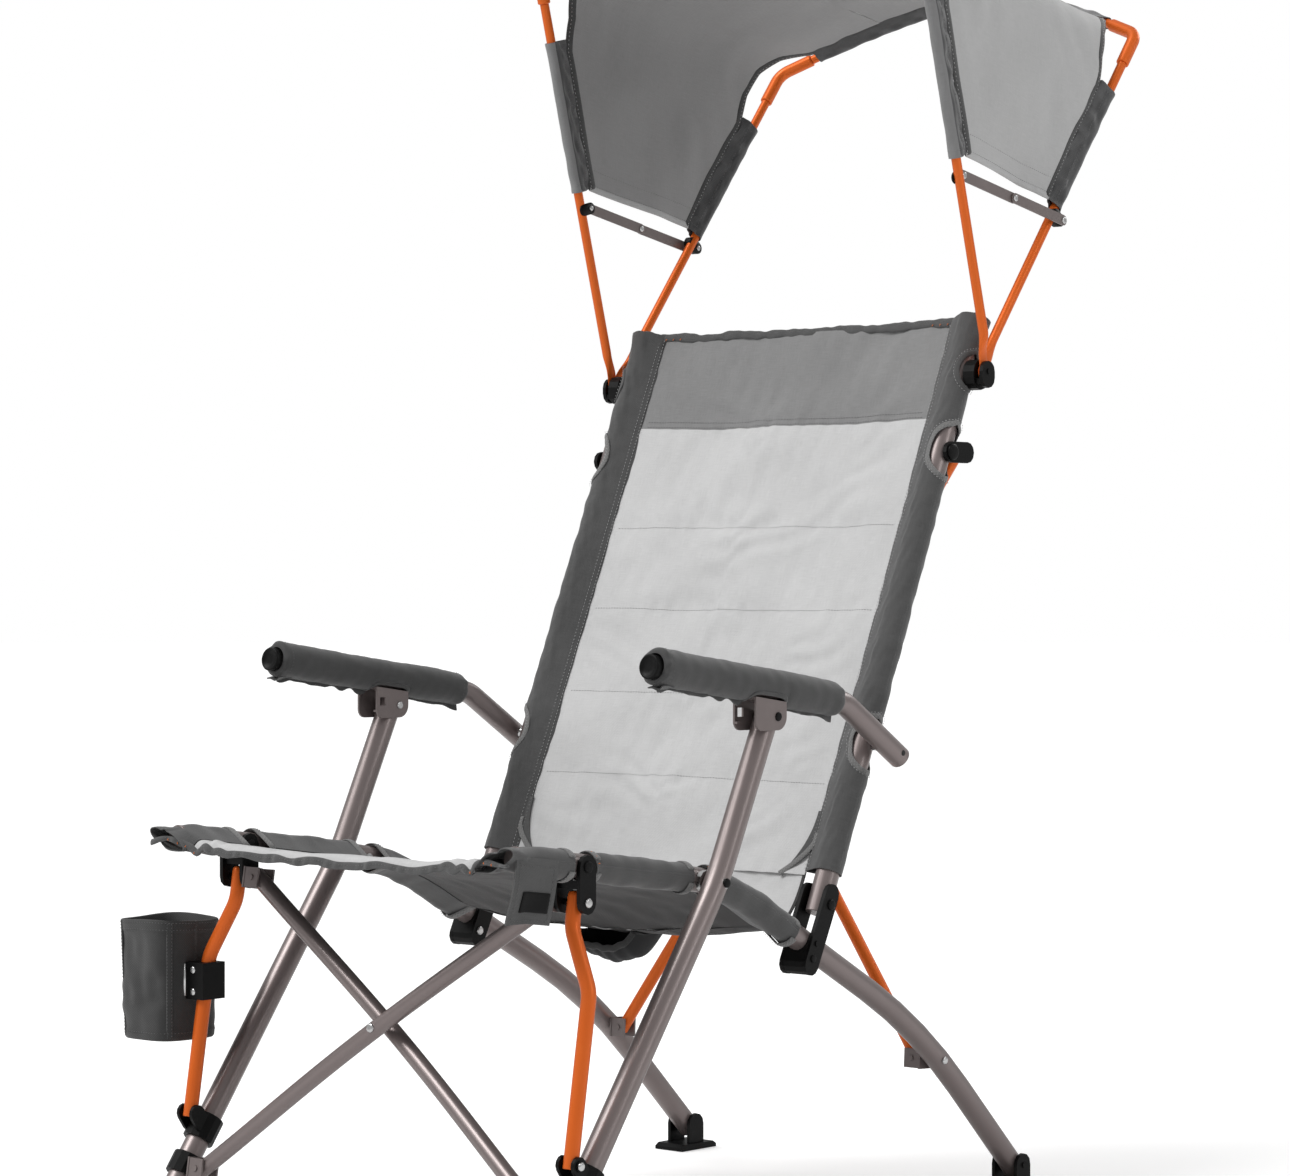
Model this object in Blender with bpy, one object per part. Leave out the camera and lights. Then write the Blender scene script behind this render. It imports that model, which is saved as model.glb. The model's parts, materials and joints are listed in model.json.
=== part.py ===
# Folding canopy chair: two side frames of round tube joined by crossed braces, a sling seat and back,
# padded arms, a cup holder and a tilting canopy. Metres, +Z up, the sitter looks along -Y, left is +X.
# Each side frame lies in planes of constant X, so a place in it is a pair (y, z).
import math

import bmesh
import bpy
import numpy as np
from mathutils import Vector

# Driving sizes of the frame
TUBE_R = 0.01375
RAIL_X = 0.259
FRAME_GAP = 0.0065
LEG_X = RAIL_X + 2 * TUBE_R + FRAME_GAP
SEAT_PIVOT = (-0.138, 0.410)
PIVOT_LINK = (0.085, 0.178)
POST_PIVOT = (0.0805, 0.3705)
POST_LEAN = 0.4375
POST_SET_BACK = 0.0033
POST_TOP_Z = 1.043
POST_FOOT = 0.012
FOOT_PIVOT_Z = 0.032
LEG_SLOPE = 0.7212
LEG_BEND_R = 0.30
RAIL_FRONT = (-0.425, 0.4493)
RAIL_KNEE = (-0.0886, 0.4062)
RAIL_KNEE_R = 0.35
RAIL_HIP = (0.2688, 0.2128)
RAIL_HIP_R = 0.80
REAR_FOOT_Y = 0.456
TUBE_OVERRUN = 0.010

# Clearances and fasteners
GAP = 0.0003
PIN_R = 0.0035
PIN_CLEAR = 0.0004
HEAD_R = 0.0062
HEAD_T = 0.0028
OVERRUN = 0.004
PLATE_T = 0.0025

# Links on the seat rail
LINK_T = 0.0050
LINK_R = 0.0125
FRONT_LINK_Y = -0.330
FRONT_LINK_DROP = 0.038
LINK_WEB_T = 0.009
REAR_LINK_R = 0.0120
REAR_LINK_BACK = 0.0255
REAR_LINK_TOP = (0.0030, 0.0115)
REAR_LINK_LOW = (-0.0345, -0.0655)

# Armrests
ARM_FRONT = (-0.245, 0.6455)
ARM_BEND = (0.083, 0.6005)
ARM_BEND_R = 0.050
ARM_TAIL = 0.028
ARM_R = 0.0130
PAD_R = 0.0205
PAD_START = 0.004
PAD_END_BACK = 0.018
PAD_RISE = 0.0015
PLUG_R = 0.0145
PLUG_T = 0.007
EAR_R = 0.0150
EAR_FRONT = 0.038
EAR_HOLE = 0.010
EAR_TAB = 0.006

# Struts, collars and feet
STRUT_R = 0.00825
STRUT_DOWN = 0.3645664473
STRUT_SPACE = 0.0011775271
STRUT_KNEE_SHARE = 0.10
STRUT_JOG_SHARE = 0.34
STRUT_BEND_R = 0.040
COLLAR_T = 0.0042
COLLAR_HALF = 0.0150
CLEVIS_T = 0.0042
CLEVIS_R = 0.0100
BRACE_COLLAR_HALF = 0.0120
BRACE_COLLAR_DOWN = 0.418
SHOE_LENGTH = 0.068
SHOE_WIDTH = 0.046
SHOE_T = 0.008
SHOE_EAR_T = 0.0045
SHOE_EAR_R = 0.0140
SHOE_BEVEL = 0.006

# Braces
FRONT_BRACE_R = 0.0095
REAR_BRACE_R = 0.0075
BRACKET_HALF = 0.0120
BRACKET_NOSE = 0.0105
BRACE_TIP = 0.004
REAR_BRACE_DOWN = (0.303, 0.1725)
REAR_BRACE_UP_Z = 0.889
FORK_SPACE = 0.00485
REAR_BRACE_HEAD_HALF = 0.0085
BRACE_PLAY = 0.0010
HEAD_SPACE = 0.0014
FORK_PLAY = 0.0022
BOW_SHAPE = 1.5
CROSSING_PLAY = 0.0029
CAP_R = 0.0125
CAP_T = 0.0050

# Canopy
HUB_Z = 0.985
CREST = (0.0030, 0.0070)
ROD_R = 0.00575
ROD_SPACE = 0.0003
HUB_MIDDLE = 0.0192
BLADE_T = 0.0028
BLADE_R = 0.0078
BLADE_LENGTH = 0.018
BLADE_TAPER = 0.022
HUB_HALF = 0.0145
HUB_PLATE_T = 0.0048
HUB_FLOOR = 0.0086
HUB_FLOOR_T = 0.0060
BOW_R = 0.540
BOW_RISE = 0.097
FRONT_BOW_ANGLE = math.radians(-15.2)
REAR_BOW_ANGLE = math.radians(37.5)
ARCH_BEND = 1.6
ELBOW_R = 0.0080
ELBOW_LENGTH = 0.050
ELBOW_BEND_R = 0.022
STAY_FRONT = 0.2256
STAY_REAR = 0.2390
STAY_FRONT_BACK = 0.0126
STAY_REAR_BACK = 0.0110
STAY_T = 0.0018
STAY_HALF = 0.0064
CLIP_HALF = 0.0075
CLIP_T = 0.0022
RIVET_R = 0.0022

# Fabric
CLOTH_T = 0.0020
SLEEVE_T = 0.0022
SLEEVE_CLEAR = 0.0005
SEAT_SAG = 0.022
SEAT_FRONT_Y = -0.436
SEAT_HEM_DROP = 0.012
SAG_EDGE_SHARE = 0.35
LOW_SAG_SHARE = 0.30
SEAT_TURN_Y = 0.006
SEAT_SLEEVE_END_Y = 0.026
BACK_SAG = 0.016
BACK_TOP_Z = 1.052
BACK_LOW_Z = 0.405
SLOT_HALF = 0.030
HUB_SLOT_HALF = 0.020
CANOPY_LOW = 0.250
CANOPY_HIGH = 0.440
CANOPY_ARCH_START = 0.052
CANOPY_SCALLOP = 0.050
CANOPY_LIFT = 0.010
CANOPY_SAG = 0.008
CENTRE_HALF_SHARE = 0.60
POUCH_FRONT_Y = 0.002
POUCH_LENGTH = 0.092
POUCH_WIDTH = 0.100
POUCH_DROP = 0.036

# Cup holder, on the right strut
CUP_HALF = 0.0475
CUP_CORNER_R = 0.022
CUP_HEIGHT = 0.140
CUP_WALL = 0.0030
CUP_TAPER_SHARE = 0.92
CUP_MID_Z = 0.2800
CUP_REACH = 0.0080
CLAMP_HALF_Z = 0.0210
CLAMP_HALF_Y = 0.0170
CLAMP_T = 0.0040

# Facets
TUBE_SIDES = 12
THIN_SIDES = 10
PIN_SIDES = 8
SLING_ROWS = 13
SEAT_ROWS = 10
TURN_ROWS = 5
SLING_COLUMNS = 9
LEG_ROWS = 5
ARCH_ROWS = 8
CANOPY_COLUMNS = 9
ARCH_STEPS = 16
BRACE_STEPS = 6
BEND_STEP = math.radians(10)
SHARP = math.radians(35)
WELD = 0.000002


def clear_scene():
    for found in list(bpy.data.objects):
        bpy.data.objects.remove(found, do_unlink=True)


def make_material(name, colour, roughness, metallic=0.0):
    made = bpy.data.materials.new(name)
    made.use_nodes = True
    shader = made.node_tree.nodes["Principled BSDF"]
    shader.inputs["Base Color"].default_value = (*colour, 1.0)
    shader.inputs["Roughness"].default_value = roughness
    shader.inputs["Metallic"].default_value = metallic
    made.diffuse_color = (*colour, 1.0)
    return made


# Places in a side frame


def along(start, end, distance):
    """The point on the line from start to end, this far from start."""
    line = Vector(end) - Vector(start)
    return tuple(Vector(start) + line.normalized() * distance)


def leg_point(distance, ahead=0.0):
    """A point of the front leg's lower run: this far below the seat pivot, and this far ahead of its axis."""
    down = Vector((-LEG_SLOPE, -1.0)).normalized()
    front = Vector((down.y, -down.x))
    place = Vector(SEAT_PIVOT) + down * distance + front * ahead
    return tuple(place)


def post_point(height):
    """The back post's axis at this height."""
    return (POST_PIVOT[0] + POST_SET_BACK + (height - POST_PIVOT[1]) * POST_LEAN, height)


def bow_point(angle, radius, behind=0.0):
    """A point on a canopy bow: this far from where its rods' lines cross, and this far behind the rod."""
    y, z = Vector(post_point(HUB_Z)) + Vector(CREST)
    return (
        y + radius * math.sin(angle) + behind * math.cos(angle),
        z + radius * math.cos(angle) - behind * math.sin(angle),
    )


def arch_point(angle, offset, x):
    """A point of an arch rod at this X, with its elbows at the offset: a hyperbola, steep at the ends."""
    end = math.sqrt(1.0 + ARCH_BEND**2)
    here = math.sqrt(1.0 + (ARCH_BEND * x / offset) ** 2)
    y, z = bow_point(angle, BOW_R + BOW_RISE * (end - here) / (end - 1.0))
    return Vector((x, y, z))


ARM_PIVOT = (SEAT_PIVOT[0] + PIVOT_LINK[0], SEAT_PIVOT[1] + PIVOT_LINK[1])
POST_ARM_PIVOT = (POST_PIVOT[0] + PIVOT_LINK[0], POST_PIVOT[1] + PIVOT_LINK[1])
FRONT_FOOT = (SEAT_PIVOT[0] - (SEAT_PIVOT[1] - FOOT_PIVOT_Z) * LEG_SLOPE, FOOT_PIVOT_Z)
REAR_FOOT = (REAR_FOOT_Y, FOOT_PIVOT_Z)
RAIL_SLOPE = (RAIL_KNEE[1] - RAIL_FRONT[1]) / (RAIL_KNEE[0] - RAIL_FRONT[0])
FRONT_LINK = (FRONT_LINK_Y, RAIL_FRONT[1] + (FRONT_LINK_Y - RAIL_FRONT[0]) * RAIL_SLOPE)
STRUT_TOP = (FRONT_LINK_Y, FRONT_LINK[1] - FRONT_LINK_DROP)
REAR_LINK = (
    POST_PIVOT[0] - REAR_LINK_BACK,
    RAIL_KNEE[1] + (POST_PIVOT[0] - REAR_LINK_BACK - RAIL_KNEE[0])
    * (RAIL_HIP[1] - RAIL_KNEE[1]) / (RAIL_HIP[0] - RAIL_KNEE[0]),
)
LINK_IN_X = RAIL_X - TUBE_R - GAP - LINK_T
LINK_OUT_X = RAIL_X + TUBE_R + GAP + LINK_T
HUB_IN_X = RAIL_X + TUBE_R + GAP
HUB_X = HUB_IN_X + HUB_MIDDLE
FRONT_ROD_X = HUB_X + ROD_R + ROD_SPACE / 2
REAR_ROD_X = HUB_X - ROD_R - ROD_SPACE / 2
HUB_SLOT_IN = HUB_X - ROD_SPACE / 2 - BLADE_T - GAP
HUB_OUT_X = HUB_X + ROD_SPACE / 2 + BLADE_T + GAP
STAY_X = REAR_ROD_X + ROD_R + CLIP_T + GAP
BRACE_COLLAR = leg_point(BRACE_COLLAR_DOWN)
COLLAR_R = TUBE_R + GAP + COLLAR_T
STRUT_LOW = leg_point(STRUT_DOWN, COLLAR_R + STRUT_R + STRUT_SPACE)
FRONT_LOW_X = LEG_X - COLLAR_R - GAP - PLATE_T - BRACKET_NOSE - GAP
FRONT_HIGH_X = LINK_IN_X - HEAD_SPACE - PLATE_T - BRACKET_NOSE - GAP
REAR_LOW_X = RAIL_X - TUBE_R - GAP - PLATE_T - BRACKET_NOSE - GAP
REAR_HIGH_X = RAIL_X + TUBE_R + GAP - BRACKET_NOSE
REAR_BRACE_HEAD_BACK = TUBE_R + PLATE_T + FORK_PLAY + REAR_BRACE_R + FORK_SPACE
REAR_HIGH = (post_point(REAR_BRACE_UP_Z)[0] + REAR_BRACE_HEAD_BACK, REAR_BRACE_UP_Z)
FRONT_BRACE_BOW = FRONT_BRACE_R + CROSSING_PLAY
REAR_BRACE_BOW = -REAR_BRACE_R - BRACE_PLAY


# Mesh tools: each returns vertices and faces


def rounded(points, radii):
    """The polyline with an arc of the given radius at each inner corner."""
    points = [Vector(p) for p in points]
    line = [points[0]]
    for before, corner, after, radius in zip(points, points[1:], points[2:], radii):
        back = (before - corner).normalized()
        ahead = (after - corner).normalized()
        turn = math.pi - back.angle(ahead)
        reach = radius * math.tan(turn / 2)
        middle = corner + (back + ahead).normalized() * (radius / math.cos(turn / 2))
        first = corner + back * reach - middle
        last = corner + ahead * reach - middle
        steps = max(2, round(turn / BEND_STEP))
        for step in range(steps + 1):
            share = step / steps
            mixed = first * math.sin((1 - share) * turn) + last * math.sin(share * turn)
            line.append(middle + mixed / math.sin(turn))
    line.append(points[-1])
    return line


def sweep(line, radius, sides=TUBE_SIDES, flat=None):
    """A bar along a line, closed at both ends, with its ring carried without twist.

    flat gives a half thickness and a half width for each place of the line where the bar is not round."""
    line = [Vector(p) for p in line]
    heading = (line[1] - line[0]).normalized()
    side = heading.orthogonal().normalized()
    if abs(heading.x) < 0.9:
        side = (Vector((1, 0, 0)) - heading * heading.x).normalized()
    rings = []
    for index, place in enumerate(line):
        ahead = (line[min(index + 1, len(line) - 1)] - place).normalized()
        behind = (place - line[max(index - 1, 0)]).normalized()
        heading = (ahead + behind).normalized()
        side = (side - heading * side.dot(heading)).normalized()
        up = heading.cross(side)
        thick, wide = flat[index] if flat else (radius, radius)
        if 0 < index < len(line) - 1:
            wide /= math.sqrt((1 + ahead.dot(behind)) / 2)
        ring = []
        for k in range(sides):
            angle = 2 * math.pi * (k + 0.5) / sides
            ring.append(place + side * math.cos(angle) * thick + up * math.sin(angle) * wide)
        rings.append(ring)
    verts = [v for ring in rings for v in ring]
    faces = [tuple(reversed(range(sides)))]
    for r in range(len(rings) - 1):
        for k in range(sides):
            n = (k + 1) % sides
            faces.append((r * sides + k, r * sides + n, (r + 1) * sides + n, (r + 1) * sides + k))
    faces.append(tuple(range((len(rings) - 1) * sides, len(rings) * sides)))
    return verts, faces


def cross_bar(s, place, x0, x1, radius, sides=PIN_SIDES):
    """A round bar along X at a place of the side frame, between two distances from the middle plane."""
    return sweep([(s * x0, *place), (s * x1, *place)], radius, sides)


def slab(s, outline, x0, x1):
    """A flat plate: a side-frame outline extruded between two distances from the middle plane."""
    count = len(outline)
    verts = [Vector((s * x0, *p)) for p in outline] + [Vector((s * x1, *p)) for p in outline]
    faces = [tuple(range(count)), tuple(reversed(range(count, 2 * count)))]
    faces += [(k, k + count, (k + 1) % count + count, (k + 1) % count) for k in range(count)]
    return verts, faces


def obround(a, b, radius, steps=6):
    """The outline of a bar with round ends between two places of the side frame."""
    a, b = Vector(a), Vector(b)
    heading = (b - a).normalized()
    start = math.atan2(heading.y, heading.x)
    outline = []
    for centre, turn in ((b, start - math.pi / 2), (a, start + math.pi / 2)):
        for k in range(steps + 1):
            angle = turn + math.pi * k / steps
            outline.append((centre.x + radius * math.cos(angle), centre.y + radius * math.sin(angle)))
    return outline


def block(low, high):
    """A box between two corners."""
    x, y, z = zip(low, high)
    verts = [Vector((x[i], y[j], z[k])) for i in (0, 1) for j in (0, 1) for k in (0, 1)]
    faces = [(0, 1, 3, 2), (4, 6, 7, 5), (0, 4, 5, 1), (2, 3, 7, 6), (0, 2, 6, 4), (1, 5, 7, 3)]
    return verts, faces


def side_box(s, x0, x1, y0, y1, z0, z1):
    """A box on one side, between two distances from the middle plane."""
    return block((min(s * x0, s * x1), y0, z0), (max(s * x0, s * x1), y1, z1))


def turned_block(centre, axis_a, half_a, axis_b, half_b, half_c):
    """A box turned to two square axes."""
    a = Vector(axis_a).normalized() * half_a
    b = Vector(axis_b).normalized() * half_b
    c = Vector(axis_a).cross(Vector(axis_b)).normalized() * half_c
    centre = Vector(centre)
    verts = [centre + a * i + b * j + c * k for i in (-1, 1) for j in (-1, 1) for k in (-1, 1)]
    return verts, block((0, 0, 0), (1, 1, 1))[1]


def cloth(points, thickness):
    """A closed sheet: a grid of places, thickened to both sides along its own normals."""
    points = np.asarray(points, float)
    du = np.gradient(points, axis=0)
    dv = np.gradient(points, axis=1)
    normal = np.cross(du, dv)
    normal /= np.linalg.norm(normal, axis=2, keepdims=True)
    rows, columns = points.shape[:2]
    count = rows * columns
    both = np.concatenate([points + normal * thickness / 2, points - normal * thickness / 2]).reshape(-1, 3)
    at = np.arange(count).reshape(rows, columns)
    faces = []
    for r in range(rows - 1):
        for c in range(columns - 1):
            quad = (at[r, c], at[r + 1, c], at[r + 1, c + 1], at[r, c + 1])
            faces.append(tuple(int(q) for q in quad))
            faces.append(tuple(int(q) + count for q in reversed(quad)))
    rim = list(at[:, 0]) + list(at[-1, 1:]) + list(at[-2::-1, -1]) + list(at[0, -2:0:-1])
    for a, b in zip(rim, rim[1:] + rim[:1]):
        faces.append((int(b), int(a), int(a) + count, int(b) + count))
    return [Vector(v) for v in both], faces


def mesh_of(shape, name):
    verts, faces = shape
    mesh = bpy.data.meshes.new(name)
    mesh.from_pydata([tuple(v) for v in verts], [], faces)
    work = bmesh.new()
    work.from_mesh(mesh)
    bmesh.ops.recalc_face_normals(work, faces=work.faces)
    work.to_mesh(mesh)
    work.free()
    return mesh


def add_piece(name, material, shapes, cuts=(), origin=(0, 0, 0), solver="EXACT"):
    """One named object: the shapes joined, the cuts taken away, with its origin at the given place."""
    piece = bpy.data.objects.new(name, mesh_of(shapes[0], name))
    bpy.context.scene.collection.objects.link(piece)
    helpers = []
    for operation, group in (("UNION", shapes[1:]), ("DIFFERENCE", cuts)):
        for shape in group:
            helper = bpy.data.objects.new(name + "_helper", mesh_of(shape, name + "_helper"))
            helper.hide_render = True
            helper.display_type = "WIRE"
            bpy.context.scene.collection.objects.link(helper)
            helpers.append(helper)
            change = piece.modifiers.new(operation.lower(), "BOOLEAN")
            change.operation = operation
            change.solver = solver
            change.object = helper
    graph = bpy.context.evaluated_depsgraph_get()
    mesh = bpy.data.meshes.new_from_object(piece.evaluated_get(graph))
    piece.modifiers.clear()
    for helper in helpers:
        bpy.data.objects.remove(helper, do_unlink=True)
    work = bmesh.new()
    work.from_mesh(mesh)
    bmesh.ops.remove_doubles(work, verts=work.verts, dist=WELD)
    bmesh.ops.dissolve_degenerate(work, edges=work.edges, dist=WELD)
    bmesh.ops.delete(work, geom=[e for e in work.edges if not e.link_faces], context="EDGES")
    work.to_mesh(mesh)
    work.free()
    place = Vector(origin)
    for vertex in mesh.vertices:
        vertex.co -= place
    piece.data = mesh
    piece.location = place
    mesh.name = name
    own = material.copy()
    own.name = name
    mesh.materials.clear()
    mesh.materials.append(own)
    mesh.shade_smooth()
    mesh.set_sharp_from_angle(angle=SHARP)
    return piece


def side_name(name, s):
    return f"{name}_{'left' if s > 0 else 'right'}"


def bore(s, place, x0, x1, radius=PIN_R + PIN_CLEAR):
    return cross_bar(s, place, x0 - OVERRUN, x1 + OVERRUN, radius)


def rail_line(s, x=RAIL_X):
    end = along(RAIL_HIP, REAR_FOOT, (Vector(REAR_FOOT) - Vector(RAIL_HIP)).length + TUBE_OVERRUN)
    corners = [RAIL_FRONT, RAIL_KNEE, RAIL_HIP, end]
    return rounded([(s * x, *p) for p in corners], [RAIL_KNEE_R, RAIL_HIP_R])


def seat_rail(s, metal):
    """One bent tube: the seat's side, then the rear leg."""
    inner = RAIL_X - TUBE_R
    outer = RAIL_X + TUBE_R
    cuts = [bore(s, place, inner, outer) for place in (FRONT_LINK, SEAT_PIVOT, REAR_LINK, REAR_FOOT)]
    cuts.append(bore(s, REAR_BRACE_DOWN, inner, outer))
    add_piece(side_name("seat_rail", s), metal, [sweep(rail_line(s), TUBE_R)], cuts)


def front_leg(s, metal):
    """The front leg, bent a little at the seat pivot, up to the arm bracket."""
    low = leg_point((Vector(FRONT_FOOT) - Vector(SEAT_PIVOT)).length + TUBE_OVERRUN)
    length = Vector(PIVOT_LINK).length
    high = along(SEAT_PIVOT, ARM_PIVOT, length + PIN_R + PIN_CLEAR + GAP)
    line = rounded([(s * LEG_X, *p) for p in (low, SEAT_PIVOT, high)], [LEG_BEND_R])
    inner = LEG_X - TUBE_R
    outer = LEG_X + TUBE_R
    cuts = [bore(s, place, inner, outer) for place in (FRONT_FOOT, SEAT_PIVOT, ARM_PIVOT)]
    cuts.append(cross_bar(s, SEAT_PIVOT, outer - HEAD_T - GAP, outer + OVERRUN, HEAD_R + GAP, THIN_SIDES))
    add_piece(side_name("front_leg", s), metal, [sweep(line, TUBE_R)], cuts, (s * LEG_X, *SEAT_PIVOT))


def seat_pivot(s, steel):
    """The bolt that joins leg and rail, with the spacer between the two tubes and a nut inside."""
    spacer = cross_bar(s, SEAT_PIVOT, RAIL_X + TUBE_R + GAP, LEG_X - TUBE_R - GAP, CAP_R, TUBE_SIDES)
    shaft = cross_bar(s, SEAT_PIVOT, RAIL_X - TUBE_R - HEAD_T, LEG_X + TUBE_R - HEAD_T / 2, PIN_R)
    head = cross_bar(s, SEAT_PIVOT, LEG_X + TUBE_R - HEAD_T, LEG_X + TUBE_R - GAP, HEAD_R, THIN_SIDES)
    nut = cross_bar(s, SEAT_PIVOT, RAIL_X - TUBE_R - GAP - HEAD_T, RAIL_X - TUBE_R - GAP, HEAD_R, THIN_SIDES)
    add_piece(side_name("seat_pivot_bolt", s), steel, [shaft, spacer, head, nut], (), (s * RAIL_X, *SEAT_PIVOT))


def back_post(s, metal):
    low = along(post_point(POST_PIVOT[1]), post_point(POST_TOP_Z), -POST_FOOT)
    line = [(s * RAIL_X, *low), (s * RAIL_X, *post_point(POST_TOP_Z))]
    head = post_point(REAR_BRACE_UP_Z)
    inner = RAIL_X - TUBE_R
    outer = RAIL_X + TUBE_R
    cuts = [bore(s, place, inner, outer) for place in (POST_PIVOT, POST_ARM_PIVOT, head)]
    add_piece(side_name("back_post", s), metal, [sweep(line, TUBE_R)], cuts, (s * RAIL_X, *POST_PIVOT))


def front_link(s, plastic):
    """Two round-ended plates over the rail, a web under it, a rivet above and the strut's bolt below."""
    plates = obround(FRONT_LINK, STRUT_TOP, LINK_R)
    inner = RAIL_X - TUBE_R - GAP
    outer = RAIL_X + TUBE_R + GAP
    web_top = FRONT_LINK[1] - TUBE_R - 2 * GAP
    web_back = FRONT_LINK_Y + LINK_R - OVERRUN
    web = [(FRONT_LINK_Y - LINK_R + OVERRUN, web_top - LINK_WEB_T), (web_back, web_top - LINK_WEB_T)]
    web += [(web_back, web_top - OVERRUN / 2), (FRONT_LINK_Y - LINK_R + OVERRUN, web_top - OVERRUN / 8)]
    shapes = [
        slab(s, web, LINK_IN_X + LINK_T / 2, LINK_OUT_X - LINK_T / 2),
        slab(s, plates, LINK_IN_X, inner),
        slab(s, plates, outer, LINK_OUT_X),
        cross_bar(s, FRONT_LINK, LINK_IN_X + LINK_T / 2, LINK_OUT_X + HEAD_T / 2, PIN_R),
        cross_bar(s, STRUT_TOP, LINK_IN_X + LINK_T / 2, LINK_OUT_X + HEAD_T / 2, PIN_R),
    ]
    add_piece(side_name("front_link", s), plastic, shapes, (), (s * RAIL_X, *STRUT_TOP))


def rear_link(s, plastic):
    """A U-shaped holder: its floor wraps under the rail and its two plates rise beside the post's foot."""
    top = tuple(Vector(POST_PIVOT) + Vector(REAR_LINK_TOP))
    low = tuple(Vector(POST_PIVOT) + Vector(REAR_LINK_LOW))
    plates = obround(top, low, REAR_LINK_R)
    inner = RAIL_X - TUBE_R - GAP
    outer = RAIL_X + TUBE_R + GAP
    tray = obround(REAR_LINK, low, REAR_LINK_R - GAP)
    shapes = [
        slab(s, tray, LINK_IN_X + LINK_T / 2, LINK_OUT_X - LINK_T / 2),
        slab(s, plates, LINK_IN_X, inner),
        slab(s, plates, outer, LINK_OUT_X),
        cross_bar(s, REAR_LINK, LINK_IN_X + LINK_T / 2, LINK_OUT_X + HEAD_T / 2, PIN_R),
        cross_bar(s, POST_PIVOT, LINK_IN_X + LINK_T / 2, LINK_OUT_X + HEAD_T / 2, PIN_R),
    ]
    trough = [sweep(rail_line(s), TUBE_R + GAP)]
    above = post_point(POST_PIVOT[1] + POST_TOP_Z)
    foot = along(post_point(POST_PIVOT[1]), post_point(POST_TOP_Z), -POST_FOOT - GAP)
    room = [sweep([(s * RAIL_X, *foot), (s * RAIL_X, *above)], TUBE_R + GAP)]
    tray_piece = side_name("rear_link", s)
    cut = add_piece(tray_piece + "_tray", plastic, shapes[:1], trough + room)
    tray_shape = ([v.co.copy() for v in cut.data.vertices], [tuple(f.vertices) for f in cut.data.polygons])
    bpy.data.objects.remove(cut, do_unlink=True)
    add_piece(tray_piece, plastic, [tray_shape] + shapes[1:], (), (s * RAIL_X, *POST_PIVOT))


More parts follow.
